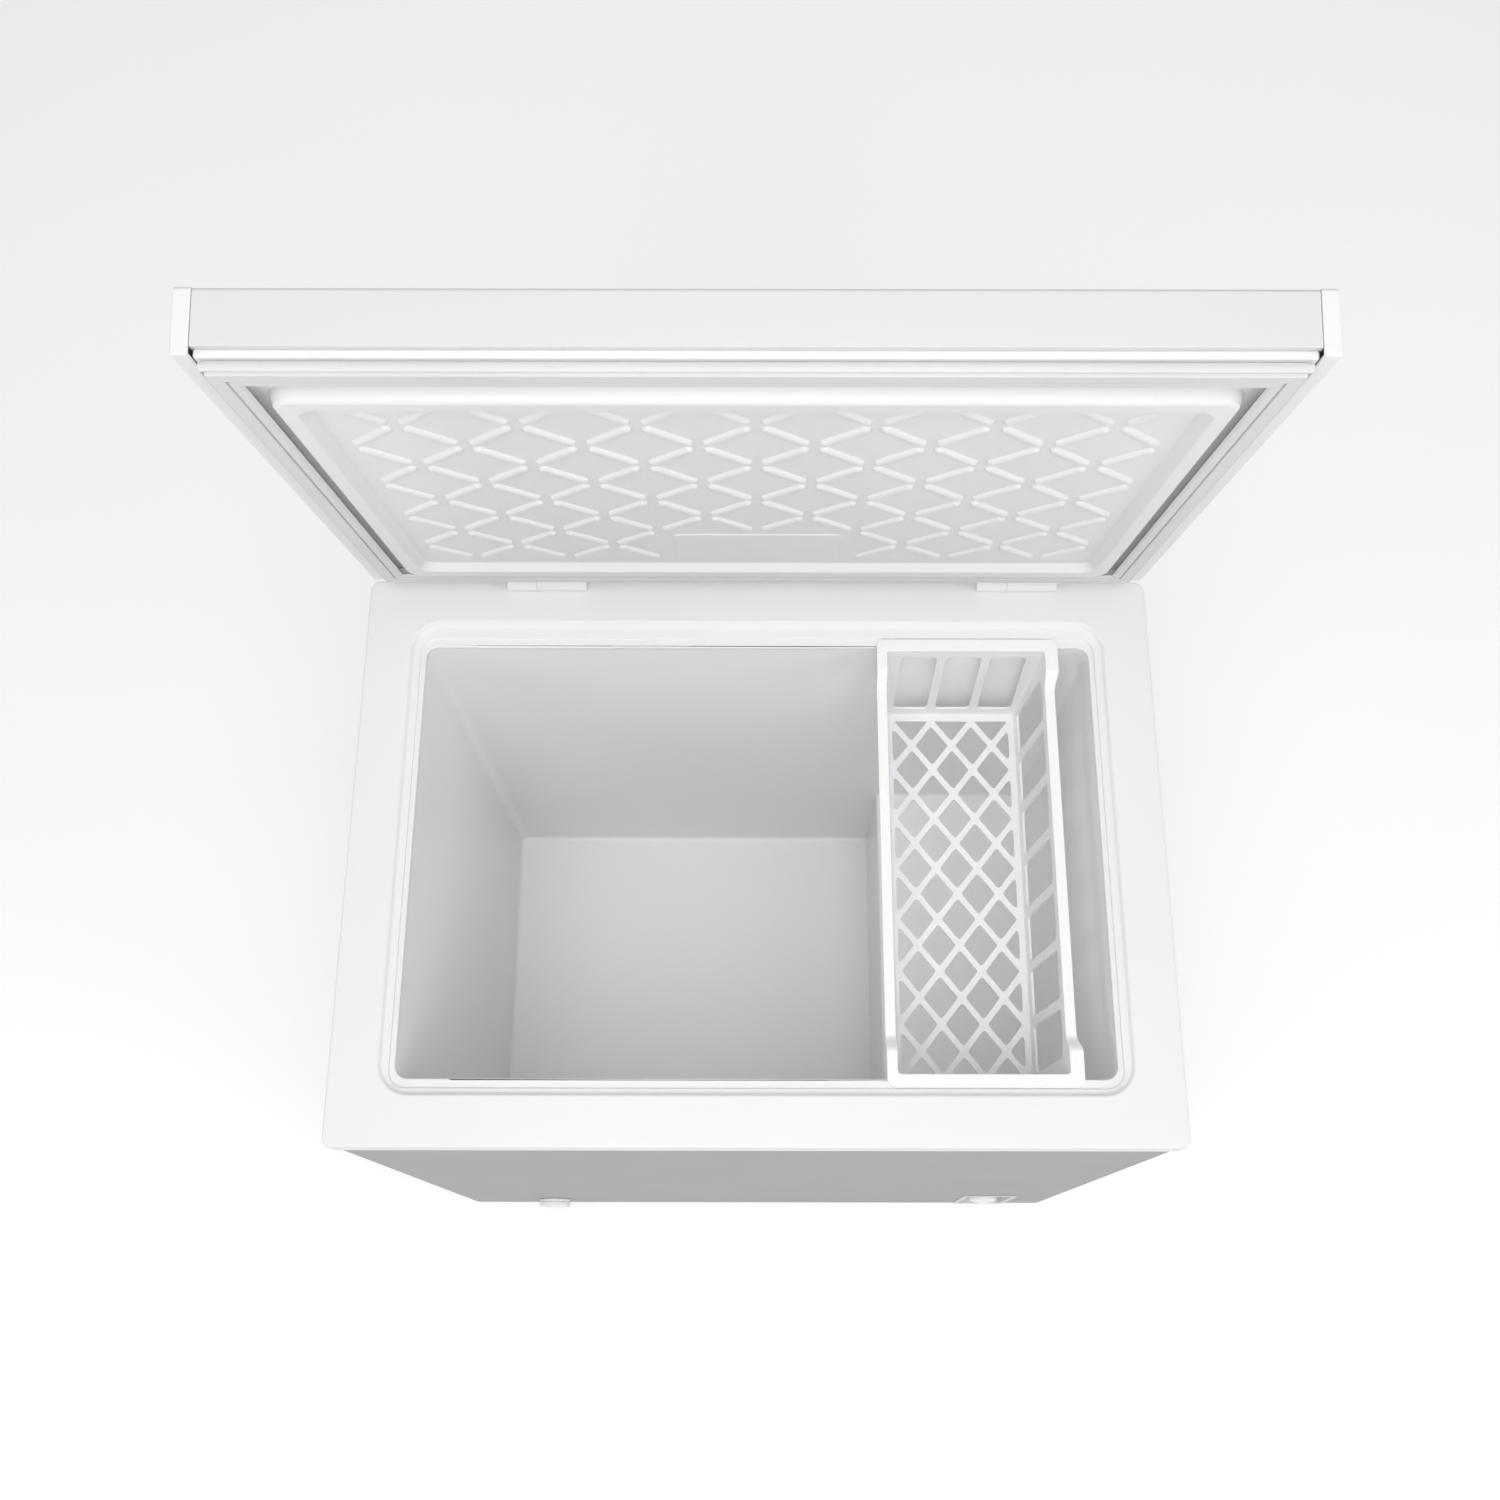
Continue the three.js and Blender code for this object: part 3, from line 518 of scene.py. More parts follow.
# Heights on the front are counted forward from its skin, the plane y = FRONT.
DRAIN_X, DRAIN_Z = centre_of("drain_bezel")
DRAIN_BORE = 10.2
KNOB_X, KNOB_Z = centre_of("thermostat_knob")
panel_plan, panel_bottom, panel_top = measured("control_panel")
PANEL_LIP = 3
PANEL_FLOOR = -12.5
SKIN_PROUD = 2
FRONT = SHELL.front - SKIN_PROUD
PANEL = Rect(panel_plan.left + PANEL_LIP, panel_plan.right - PANEL_LIP,
             panel_bottom + PANEL_LIP, panel_top - PANEL_LIP, 4)


def outer_shell():
    """The cabinet's painted wrap: nearly flush with the rim, and drawn in where the rim slips over it."""
    skin = Rect(SHELL.left - SKIN_PROUD, SHELL.right + SKIN_PROUD, FRONT, SHELL.back, SHELL.radius)
    neck = RIM_BOTTOM - 1
    inner = SHELL.grown(-SHEET)
    wall = loft([ring(skin, FOOT_TOP), ring(skin, neck - 1), ring(SHELL, neck), ring(SHELL, SHELL_TOP),
                 ring(inner, SHELL_TOP), ring(inner, FOOT_TOP)], closed=True)
    back_flange = 26
    open_back = block(SHELL.left + back_flange, SHELL.right - back_flange,
                      SHELL.back - PAST, SHELL.back + PAST, FOOT_TOP - PAST, SHELL_TOP + PAST)
    drain = along_y(circle(DRAIN_X, DRAIN_Z, DRAIN_BORE), FRONT - PAST, SHELL.front + PAST)
    window = along_y(outline(PANEL.grown(GAP, 1)), FRONT - PAST, SHELL.front + PAST)
    # The wrap wears the white paint darkened as painted shade for its front, not the lid's brighter copy.
    return piece("outer_shell_skin", cut(wall, open_back, drain, window), "outer_shell", edge=0.5, segments=2,
                 look=LOOKS["cabinet_paint_with_painted_shade"])


# The rim's recess steps down to the opening in a slope, a flat band and a ledge.
RECESS = Rect(-354.3, 354.3, -240.2, 240.9, 30)
BAND = Rect(-347.5, 347.5, -236, 234.2, 24)
LEDGE = Rect(-345, 345, -233, 226, 17)
BAND_DROP = 5
LEDGE_DROP = 8
NOTCHES = ((-287, -150), (-69, 66))


def rim_frame():
    """The moulded rim, with shallow notches in both long edges of its opening."""
    wall = 2.5
    lip = LINER_TOP + GAP
    under = RIM.grown(-wall)
    profile = [
        (RIM, RIM_BOTTOM), (RIM, RIM_TOP - 3), (RIM.grown(-0.9), RIM_TOP - 0.9), (RIM.grown(-3), RIM_TOP),
        (RECESS.grown(1.5), RIM_TOP), (RECESS, RIM_TOP - 0.4), (RECESS.grown(-0.8), RIM_TOP - 1.2),
        (RECESS.grown(-2.6), RIM_TOP - 3.8), (BAND, RIM_TOP - BAND_DROP),
        (LEDGE, RIM_TOP - BAND_DROP - 0.4), (LEDGE.grown(-0.6), RIM_TOP - LEDGE_DROP),
        (OPENING.grown(1.6), RIM_TOP - LEDGE_DROP), (OPENING.grown(0.4), RIM_TOP - LEDGE_DROP - 0.7),
        (OPENING, RIM_TOP - LEDGE_DROP - 2), (OPENING, lip), (OPENING.grown(wall), lip),
        (OPENING.grown(wall), RIM_TOP - LEDGE_DROP - 3), (RECESS.grown(4), RIM_TOP - LEDGE_DROP - 3),
        (RECESS.grown(4), RIM_TOP - 3), (under, RIM_TOP - 3), (under, RIM_BOTTOM),
    ]
    frame_ring = loft([ring(rect, z, 12) for rect, z in profile], closed=True)
    notches = []
    depth, drop = 1.5, 1.4
    for left, right in NOTCHES:
        for edge, outward in ((OPENING.front, -1), (OPENING.back, 1)):
            y0, y1 = sorted((edge - outward, edge + depth * outward))
            notches.append(block(left, right, y0, y1, RIM_TOP - LEDGE_DROP - drop, RIM_TOP))
    return piece("rim_top", cut(frame_ring, merged(notches)), "rim_frame", edge=0.5)


def well_hollow(rect, floor, top, fillet):
    """A tub-shaped space with round upright corners and a rounded foot."""
    rings = []
    steps = 6
    for i in range(steps + 1):
        turn = math.radians(90 * i / steps)
        inset = fillet * (1 - math.sin(turn))
        corner = max(rect.radius - inset, 1)
        rings.append(ring(rect.grown(-inset, corner), floor + fillet * (1 - math.cos(turn))))
    rings.append(ring(rect, top))
    return loft(rings)


def step_corner(radius):
    """The round upper edge of the raised step, or of its hollow inside when the radius is less."""
    return arc(STEP_LEFT + STEP_ROUND, STEP_TOP - STEP_ROUND, radius, 180, 90, 6)


def inner_liner():
    """The formed tub: a deep well on the left and, on the right, a shallow floor on the raised step."""
    outside, under_flange = OPENING.grown(LINER_WALL), LINER_TOP - LINER_WALL
    tub = loft([ring(outside, LINER_BOTTOM), ring(outside, under_flange),
                ring(LINER_FLANGE, under_flange), ring(LINER_FLANGE, LINER_TOP)])
    foot_round = 6
    upper = well_hollow(OPENING, STEP_TOP, LINER_TOP + 4 * PAST, foot_round)
    past_step = STEP_LEFT + 30
    deep_top = STEP_TOP + 60
    deep = well_hollow(Rect(OPENING.left, past_step, OPENING.front, OPENING.back, OPENING.radius),
                       WELL_FLOOR, deep_top, foot_round)
    deep = cut(deep, block(STEP_LEFT, past_step + PAST, OPENING.front - PAST, OPENING.back + PAST,
                           WELL_FLOOR - PAST, deep_top + 2 * PAST))
    beside, over = STEP_LEFT - 2, STEP_TOP + PAST
    nose = [(beside, STEP_TOP - STEP_ROUND), *step_corner(STEP_ROUND), (STEP_LEFT + STEP_ROUND, over),
            (beside, over)]
    rounding = along_y(nose, OPENING.front + GAP, OPENING.back - GAP)
    far, low = LINER_FLANGE.right, LINER_BOTTOM - PAST
    space = along_y([(STEP_LEFT + LINER_WALL, low), *step_corner(STEP_ROUND - LINER_WALL),
                     (far, STEP_TOP - LINER_WALL), (far, low)], LINER_FLANGE.front, LINER_FLANGE.back)
    plug_x, plug_y = middle_of(measured("drain_plug")[0])
    hole = prism(circle(plug_x, plug_y, 8), LINER_BOTTOM - PAST, WELL_FLOOR + PAST)
    return piece("liner_tub", cut(tub, space, upper, deep, rounding, hole), "inner_liner")


# ---- lid, drawn shut ----
LID_LEFT, LID_RIGHT = measured("lid_end_cap_left")[0].left, measured("lid_end_cap_right")[0].right
CAP_WIDTH = measured("lid_end_cap_left")[0].right - LID_LEFT
SHEET_END = LID_RIGHT - CAP_WIDTH
LID_FRONT = -285
LID_BACK = 284
LID_UNDER = RIM_TOP + 17
LID_OVER = RIM_TOP + 59.5
LID_SEAT = RIM_TOP + 11
PAN_SEAT = Rect(-348, 348, -232, 226, 18)
PAN_FACE = Rect(-343, 343, -227, 221, 15)
PAN_LOW = RIM_TOP - 1
POCKET_MOUTH = Rect(-330, 330, -212, 206, 13)
POCKET_FLOOR = Rect(-324, 324, -206, 200, 10)
POCKET_HIGH = RIM_TOP + 8
LINER_EDGE = Rect(-380.8, 380.8, -279, 262, 2)
CAP_PROUD = 0.5
CAP_SKIRT = 5.8
CAP_HEEL = 9
CAP_WALL = 2.5


def lid_profile(inset=0.0, lower=0.0, heel=0.0, radius=4.0, steps=6):
    """The lid's side outline in (y, z): flat underneath, with round top edges.

    The heel cuts off the lower corner over the hinges.
    """
    front, back = LID_FRONT + inset, LID_BACK - inset
    top, bottom = LID_OVER - inset, LID_UNDER + inset - lower
    front_edge = arc(front + radius, top - radius, radius, 180, 90, steps)
    back_edge = arc(back - radius, top - radius, radius, 90, 0, steps)
    lower_back = [(back, bottom + heel), (back - heel, bottom)] if heel else [(back, bottom)]
    return [(front, bottom), *front_edge, *back_edge, *lower_back]


def lid_skin():
    full = along_x(lid_profile(), -SHEET_END + GAP, SHEET_END - GAP)
    hollow = along_x(lid_profile(SHEET, radius=3), -SHEET_END - PAST, SHEET_END + PAST)
    mouth = prism(outline(LINER_EDGE.grown(GAP)), LID_UNDER - PAST, LID_UNDER + PAST)
    return piece("lid_skin", cut(full, hollow, mouth), "lid_outer_sheet", edge=0.5, segments=2, swung=True)


def lid_cap(name, side):
    """An end cap: a plate a little larger than the lid's side outline, hollow towards the lid."""
    near, far = sorted((side * SHEET_END, side * LID_RIGHT))
    plate = along_x(lid_profile(-CAP_PROUD, CAP_SKIRT, CAP_HEEL), near, far)
    inner, outer = sorted((side * (SHEET_END - PAST), side * (LID_RIGHT - CAP_WALL)))
    pocket = along_x(lid_profile(CAP_WALL - CAP_PROUD, CAP_SKIRT, CAP_HEEL), inner, outer)
    return piece(f"{name}_cover", cut(plate, pocket), name, edge=1.1, swung=True)


def capsule(start, end, width, base, rise, steps=5):
    """A low bar with round ends and a rounded top, standing down from the height base."""
    run = Vector(end) - Vector(start)
    heading = math.atan2(run.y, run.x)
    root = 0.7
    rings = []
    for level in range(5):
        tilt = math.radians(90 * level / 4.6)
        radius = width / 2 * math.cos(tilt)
        height = base - rise * math.sin(tilt)
        points = []
        for centre, offset in ((Vector(end), -90), (Vector(start), 90)):
            for i in range(steps + 1):
                turn = heading + math.radians(offset + 180 * i / steps)
                x, y = centre.x + radius * math.cos(turn), centre.y + radius * math.sin(turn)
                points.append((x, y, height))
        if level == 0:
            rings.append([(x, y, base + root) for x, y, _ in points])
        rings.append(points)
    return loft(rings)


def held_back(point, other, limit):
    """A bar's end, drawn back along the bar where it would lie further forward than the limit."""
    if point[1] >= limit:
        return point
    t = (limit - other[1]) / (point[1] - other[1])
    return other[0] + t * (point[0] - other[0]), limit


def net_bars():
    """Short raised bars along the sides of a square net set on its corners, round the plain framed field."""
    pitch_x, pitch_y = 45, 43.7
    width, rise = 9.5, 3.2
    open_crossing = 17
    first_row = HINGE_Y - 119
    field_rows, field_half = 2, 2 * pitch_x
    reach = (pitch_x - open_crossing) / 2
    front_limit = POCKET_FLOOR.front + 6
    bars = []
    for column in range(-7, 7):
        for row in range(9):
            x = (column + 0.5) * pitch_x
            y = first_row - row * pitch_y
            if row < field_rows and abs(x) <= field_half:
                continue
            slope = 1 if (column + row) % 2 else -1
            start, end = (x - reach, y - slope * reach), (x + reach, y + slope * reach)
            bars.append(capsule(held_back(start, end, front_limit), held_back(end, start, front_limit),
                                width, POCKET_HIGH, rise))
    return merged(bars)


def label_field():
    """The plain field, raised a little, that the net leaves free."""
    field = Rect(-77, 77, HINGE_Y - 173, HINGE_Y - 107, 6)
    profile = [(0, 0.7), (0, -0.4), (-0.6, -1.0), (-2, -1.3)]
    return loft([ring(field.grown(inset), POCKET_HIGH + z) for inset, z in profile])


def lid_liner():
    top = LID_UNDER - GAP
    tuck = LID_UNDER + SHEET + 0.6
    face = [
        (LINER_EDGE.grown(2.5), tuck + 1), (LINER_EDGE.grown(2.5), tuck), (LINER_EDGE.grown(-0.4), tuck),
        (LINER_EDGE.grown(-0.4), top), (LINER_EDGE, top - 0.4), (LINER_EDGE, LID_SEAT + 2),
        (LINER_EDGE.grown(-0.8), LID_SEAT + 0.6), (LINER_EDGE.grown(-2.2), LID_SEAT),
        (PAN_SEAT.grown(1.5), LID_SEAT), (PAN_SEAT.grown(0.2), LID_SEAT - 1),
        (PAN_SEAT.grown(-2), PAN_LOW + 5), (PAN_SEAT.grown(-2.8), PAN_LOW + 2.4),
        (PAN_FACE.grown(0.6), PAN_LOW + 0.8), (PAN_FACE.grown(-1.6), PAN_LOW),
        (POCKET_MOUTH.grown(1.6), PAN_LOW), (POCKET_MOUTH.grown(-0.2), PAN_LOW + 1),
        (POCKET_FLOOR.grown(0.8), POCKET_HIGH - 1.2), (POCKET_FLOOR.grown(-1.2), POCKET_HIGH),
    ]
    wall = LINER_WALL
    behind = [
        (POCKET_FLOOR.grown(-1.2), POCKET_HIGH + wall), (POCKET_FLOOR.grown(0.8 + wall), POCKET_HIGH + 0.3),
        (POCKET_MOUTH.grown(1.6), PAN_LOW + wall + 0.5), (PAN_FACE.grown(-2), PAN_LOW + wall + 0.5),
        (PAN_SEAT.grown(-2 - wall), PAN_LOW + 6), (PAN_SEAT.grown(-wall), LID_SEAT + wall),
        (LINER_EDGE.grown(-wall - 0.8), LID_SEAT + wall + 1), (LINER_EDGE.grown(-wall - 0.8), tuck + 1),
    ]
    pan = loft([ring(rect, z, 12) for rect, z in face[::-1] + behind[::-1]])
    body = joined(pan, net_bars(), label_field())
    return piece("lid_pan", body, "lid_liner", swung=True, look=LOOKS["lid_plastic"])


def lid_gasket():
    """Four mitred lengths of one section: a bulb outside, a flat sealing face and a thin inner fin."""
    seat = Rect(-378, 378, -278, 251)
    top = LID_SEAT - GAP
    low = RIM_TOP + GAP
    section = [
        (3, top), (3, top - 1.6), (0.6, top - 2.1), (0, top - 4.2), (0.2, top - 6.5), (1.0, top - 7.8),
        (2.2, top - 8.3), (2.8, top - 6), (3.6, top - 6), (4.2, low), (14.6, low), (15.0, low + 2.4),
        (15.9, low + 2.4), (16.3, low + 0.5), (22.5, low + 0.3), (25, low + 1.8), (24.4, low + 2.8),
        (18.5, low + 2.6), (18.5, top),
    ]
    corners = [(seat.left, seat.front, 1, 1), (seat.right, seat.front, -1, 1),
               (seat.right, seat.back, -1, -1), (seat.left, seat.back, 1, -1)]
    mitre_gap = 0.3
    lengths = []
    for first, last in zip(corners, corners[1:] + corners[:1]):
        run = Vector((last[0] - first[0], last[1] - first[1])).normalized() * mitre_gap
        rings = []
        for (x, y, inward_x, inward_y), step in ((first, run), (last, -run)):
            rings.append([(x + inward_x * d + step.x, y + inward_y * d + step.y, z) for d, z in section])
        lengths.append(loft(rings))
    return piece("lid_seal", merged(lengths), "lid_gasket", edge=0.25, segments=2, swung=True)


# ---- hinges ----
KNUCKLE = 8.4
LEAF = 2


def barrel(x0, x1):
    """A knuckle, round the hinge axis."""
    return along_x(circle(HINGE_Y, HINGE_Z, KNUCKLE), x0, x1)


def hinge_base(side):
    """A knuckle with the leaf that runs down behind the rim."""
    node = f"hinge_base_{side}"
    plan, bottom, _ = measured(node)
    back = RIM.back + 0.4
    web = along_x([
        (HINGE_Y + 3, RIM_TOP + 1.6), (back, RIM_TOP + 0.5), (back, bottom), (back + LEAF, bottom),
        (back + LEAF, RIM_TOP + LEAF), (HINGE_Y + 5.5, RIM_TOP + 5.5),
    ], plan.left, plan.right)
    return piece(f"{node}_leaf", joined(barrel(plan.left, plan.right), web), node, edge=0.8)


def hinge_arm(side):
    """A knuckle with the leaf that stands up behind the lid."""
    node = f"hinge_arm_{side}"
    plan, _, _ = measured(node)
    leaf = block(plan.left, plan.right, LID_BACK + GAP, LID_BACK + GAP + LEAF, HINGE_Z, RIM_TOP + 50)
    return piece(f"{node}_leaf", joined(barrel(plan.left, plan.right), leaf), node, edge=0.8, swung=True)


# ---- basket ----
BASKET, BASKET_BOTTOM, BASKET_TOP = measured("basket", 9)
RAIL_DIP = 13
RAIL_THICK = 3
RAIL_FLARE = 3
BASKET_WALL = 2.5
DIP_FRONT, DIP_BACK, DIP_RUN = -198, 191, 18
WELL_TOP = Rect(BASKET.left + 8, BASKET.right - 8, OPENING.front + 2, OPENING.back - 2, 6)
WELL_LOW = Rect(WELL_TOP.left + 10.5, WELL_TOP.right - 10.5, WELL_TOP.front + 10, WELL_TOP.back - 14, 6)
WINDOW_FOOT = BASKET_BOTTOM + 15
WINDOW_ROUND = 6


def dip(y):
    """How far the side rails lie below the end rails."""
    into = min((y - DIP_FRONT) / DIP_RUN, (DIP_BACK - y) / DIP_RUN)
    t = min(max(into, 0), 1)
    return RAIL_DIP * t * t * (3 - 2 * t)


def basket_ring(rect, z, follows_rail=True, flare=0.0):
    """A rounded rectangle with extra points where the side rails ramp down.

    The flare widens the right rail where it is high.
    """
    steps = 8
    stations = [DIP_FRONT + DIP_RUN * i / steps for i in range(steps + 1)]
    stations += [DIP_BACK - DIP_RUN * i / steps for i in range(steps, -1, -1)]
    points = outline(rect)
    quarter = len(points) // 4
    points = points[:quarter] + [(rect.right, y) for y in stations] + points[quarter:3 * quarter] \
        + [(rect.left, y) for y in reversed(stations)] + points[3 * quarter:]
    middle = (rect.left + rect.right) / 2
    placed = []
    for x, y in points:
        sunk = dip(y)
        wider = flare * (1 - sunk / RAIL_DIP) if x > middle else 0
        placed.append((x + wider, y, z - sunk if follows_rail else z))
    return placed


def basket_shell():
    """The basket before its openings are cut: rails, tapering walls and a floor."""
    floor = BASKET_BOTTOM + RAIL_THICK
    above_ledge = 0.15
    under = BASKET_TOP - RAIL_THICK + above_ledge
    round_over = 1
    foot = 3
    inner_top, inner_low = WELL_TOP.grown(-BASKET_WALL), WELL_LOW.grown(-BASKET_WALL)
    return loft([
        basket_ring(WELL_LOW.grown(-foot), BASKET_BOTTOM, False),
        basket_ring(WELL_LOW.grown(-foot * 0.3), BASKET_BOTTOM + foot * 0.3, False),
        basket_ring(WELL_LOW, BASKET_BOTTOM + foot, False),
        basket_ring(WELL_TOP, under),
        basket_ring(BASKET.grown(-0.3), under, flare=RAIL_FLARE),
        basket_ring(BASKET, under + 0.6, flare=RAIL_FLARE),
        basket_ring(BASKET, BASKET_TOP - round_over, flare=RAIL_FLARE),
        basket_ring(BASKET.grown(-round_over * 0.3), BASKET_TOP - round_over * 0.3, flare=RAIL_FLARE),
        basket_ring(BASKET.grown(-round_over), BASKET_TOP, flare=RAIL_FLARE),
        basket_ring(inner_top.grown(round_over), BASKET_TOP),
        basket_ring(inner_top.grown(round_over * 0.3), BASKET_TOP - round_over * 0.3),
        basket_ring(inner_top, BASKET_TOP - round_over),
        basket_ring(inner_low, floor + foot * 0.7, False),
        basket_ring(inner_low.grown(-foot * 0.3), floor + foot * 0.2, False),
        basket_ring(inner_low.grown(-foot * 0.8), floor, False),
    ])


def net_holes():
    """Diamond holes between crossing bars, cut flat along the floor's edges."""
    half_x, half_y = 22, 28
    bar = 6.4
    middle_x, _ = middle_of(BASKET)
    middle_y = -8
    net_edge = Rect(middle_x - 65, middle_x + 63, -202, 188.5)
    lean = math.atan2(half_y, half_x)
    slim = bar / 2 / math.sin(lean)
    tall = bar / 2 / math.cos(lean)
    holes = []
    for column in range(-3, 4):
        for row in range(-7, 8):
            if (column + row) % 2:
                x, y = middle_x + column * half_x, middle_y + row * half_y
                diamond = [(x - half_x + slim, y), (x, y - half_y + tall),
                           (x + half_x - slim, y), (x, y + half_y - tall)]
                diamond = clipped(diamond, net_edge)
                if len(diamond) > 2:
                    holes.append(prism(softened(diamond, 3, 3), BASKET_BOTTOM - PAST, BASKET_BOTTOM + 12))
    return merged(holes)


def side_windows():
    """Upright openings between the bars of the two long walls."""
    step, bar = 57.8, 10
    low, high = WINDOW_FOOT, BASKET_TOP - RAIL_DIP - 12
    first_bar = -205
    windows = []
    y = first_bar
    while y < WELL_LOW.back - 20:
        end = min(y + step, WELL_LOW.back - 4)
        corners = [(y + bar / 2, low), (end - bar / 2, low), (end - bar / 2, high), (y + bar / 2, high)]
        windows.append(along_x(softened(corners, WINDOW_ROUND), BASKET.left - PAST, BASKET.right + PAST))
        y += step
    return merged(windows)


def end_windows():
    """Three upright openings in each short wall."""
    bar, count = 9, 3
    low, high = WINDOW_FOOT, BASKET_TOP - 14
    left, right = WELL_LOW.left + 8, WELL_LOW.right - 8
    step = (right - left + bar) / count
    windows = []
    for i in range(count):
        x0 = left + i * step
        corners = [(x0, low), (x0 + step - bar, low), (x0 + step - bar, high), (x0, high)]
        windows.append(along_y(softened(corners, WINDOW_ROUND), BASKET.front - PAST, BASKET.back + PAST))
    return merged(windows)


def basket():
    body = cut(basket_shell(), net_holes(), side_windows(), end_windows())
    return piece("basket_body", body, "basket", edge=0.7, segments=2)


# ---- controls and drain ----
LAMPS = ("power_lamp", "warning_lamp")
KNOB_PROUD = 4.5
KNOB_BACK = -11
KNOB_FACE_CURVE = 50


def control_panel():
    """A shallow tray let into the skin, with a lip all round and holes for the knob's shaft and the lamps."""
    proud, back = 1.5, -15
    shaft_hole, lamp_hole, depth = 4.5, 2.8, 30
    outside, inside = PANEL.grown(PANEL_LIP), PANEL.grown(-PANEL_LIP)
    rings = [
        (PANEL, back), (PANEL, -GAP), (outside, GAP), (outside, proud - 0.6),
        (PANEL.grown(PANEL_LIP - 0.6), proud), (PANEL.grown(-PANEL_LIP + 0.8), proud),
        (inside, proud - 0.8), (inside, PANEL_FLOOR),
    ]
    tray = facing_front(loft([ring(rect, z) for rect, z in rings]), FRONT)
    openings = [(KNOB_X, KNOB_Z, shaft_hole)] + [(*centre_of(node), lamp_hole) for node in LAMPS]
    holes = merged([along_y(circle(x, z, radius), FRONT, FRONT + depth) for x, z, radius in openings])
    return piece("panel_tray", cut(tray, holes), "control_panel", edge=0.4, segments=2,
                 look=LOOKS["panel_plastic"])


def dome(radius):
    """How far the knob's face stands proud at a distance from its axis."""
    return KNOB_PROUD - radius * radius / (2 * KNOB_FACE_CURVE)


def thermostat_knob():
    """A ribbed knob on its shaft."""
    face = [(radius, dome(radius)) for radius in (16.8, 13.5, 10, 6, 3, 0.1)]
    shaft_end, shaft = -30, 3
    profile = [(0.1, shaft_end), (shaft, shaft_end), (shaft, KNOB_BACK), (17.4, KNOB_BACK),
               (18.7, KNOB_BACK + 1, 1), (18.4, 0.3, 1), *face]
    knob = moved(turned(profile, ribs=36, rib_depth=0.4), KNOB_X, KNOB_Z)
    return piece("knob_cap", facing_front(knob, FRONT), "thermostat_knob", edge=0.4,
                 look=LOOKS["knob_plastic"])


def knob_scale():
    """The coloured crescent printed on the lower left of the knob's face."""
    steps = 16
    first_turn, sweep = 175, 95
    outside, widest, tip = 15.6, 5.5, 0.3
    film, sunk = 0.1, 0.3
    rings = []
    for i in range(steps + 1):
        turn = math.radians(first_turn + sweep * i / steps)
        inside = outside - tip - widest * math.sin(math.pi * i / steps)
        points = []
        for radius, above in ((inside, -sunk), (outside, -sunk), (outside, film), (inside, film)):
            x, z = KNOB_X + radius * math.cos(turn), KNOB_Z + radius * math.sin(turn)
            points.append((x, z, dome(radius) + above))
        rings.append(points)
    crescent = facing_front(loft(rings), FRONT)
    return piece("knob_scale", crescent, "thermostat_knob", look=LOOKS["scale_print"])


def lamp(node):
    """A bead that shows a little above the panel's floor."""
    x, z = centre_of(node)
    back, shoulder, tip = -24, -12, -11.2
    profile = [(0.1, back), (2.5, back), (2.5, shoulder), (2.2, shoulder + 0.6), (1.2, tip), (0.1, tip)]
    return piece(f"{node}_lens", facing_front(moved(turned(profile), x, z), FRONT), node)


DIAL_RADIUS = 20.3
DIAL_RIBS = {"ribs": 26, "rib_depth": 0.6}


def drain_bezel():
    """The lower of the drain's two ribbed rings, fixed to the cabinet."""
    front = 3.9
    profile = [(DIAL_RADIUS - 1, GAP), (DIAL_RADIUS, 0.9, 1), (DIAL_RADIUS, front - 0.5, 1),
               (DIAL_RADIUS - 1, front), (DRAIN_BORE, front), (DRAIN_BORE, GAP)]
    collar = moved(hoop(profile, **DIAL_RIBS), DRAIN_X, DRAIN_Z)
    return piece("drain_collar", facing_front(collar, FRONT), "drain_bezel", look=LOOKS["knob_plastic"])


def drain_dial():
    """The turning cap: hollow behind, with the small mouth that the water leaves by."""
    front, floor_height, back = 10.4, 9, 4.2
    hollow = 9.4
    profile = [(0.1, floor_height), (hollow, floor_height), (hollow, back), (DIAL_RADIUS - 1, back),
               (DIAL_RADIUS, back + 0.7, 1), (DIAL_RADIUS, front - 1.3, 1), (DIAL_RADIUS - 1.2, front - 0.3),
               (DIAL_RADIUS - 2.5, front), (0.1, front)]
    dial = moved(turned(profile, **DIAL_RIBS), DRAIN_X, DRAIN_Z)
    mouth = block(DRAIN_X - 3, DRAIN_X + 3, DRAIN_Z + 8, DRAIN_Z + DIAL_RADIUS - 2.4, 3, 6)
    return piece("drain_knob", facing_front(cut(dial, mouth), FRONT), "drain_dial",
                 look=LOOKS["knob_plastic"])


def drain_plug():
    """A stopper with a tapered stem below the well's floor, a flange on it and a short grip."""
    x, y = middle_of(measured("drain_plug")[0])
    low = WELL_FLOOR
    profile = [
        (0.1, low - 9), (6.2, low - 9), (6.8, low - 8), (7.2, low + GAP), (12.6, low + GAP), (13, low + 1),
        (13, low + 3), (12.2, low + 4), (6, low + 4.6), (5, low + 6), (5, low + 11.5), (4, low + 13.4),
        (0.1, low + 14),
    ]
    return piece("drain_stopper", moved(turned(profile), x, y), "drain_plug")


# ---- base and back ----
def foot(node):
    plan, _, top = measured(node)
    x, y = middle_of(plan)
    radius = (plan.right - plan.left) / 2
    profile = [(0.1, 0), (radius * 0.7, 0), (radius * 0.78, 1), (radius * 0.82, 5), (radius * 0.9, 6),
               (radius, top - 3), (radius, top - 1), (radius - 1, top), (0.1, top)]
    return piece(f"{node}_pad", moved(turned(profile), x, y), node)


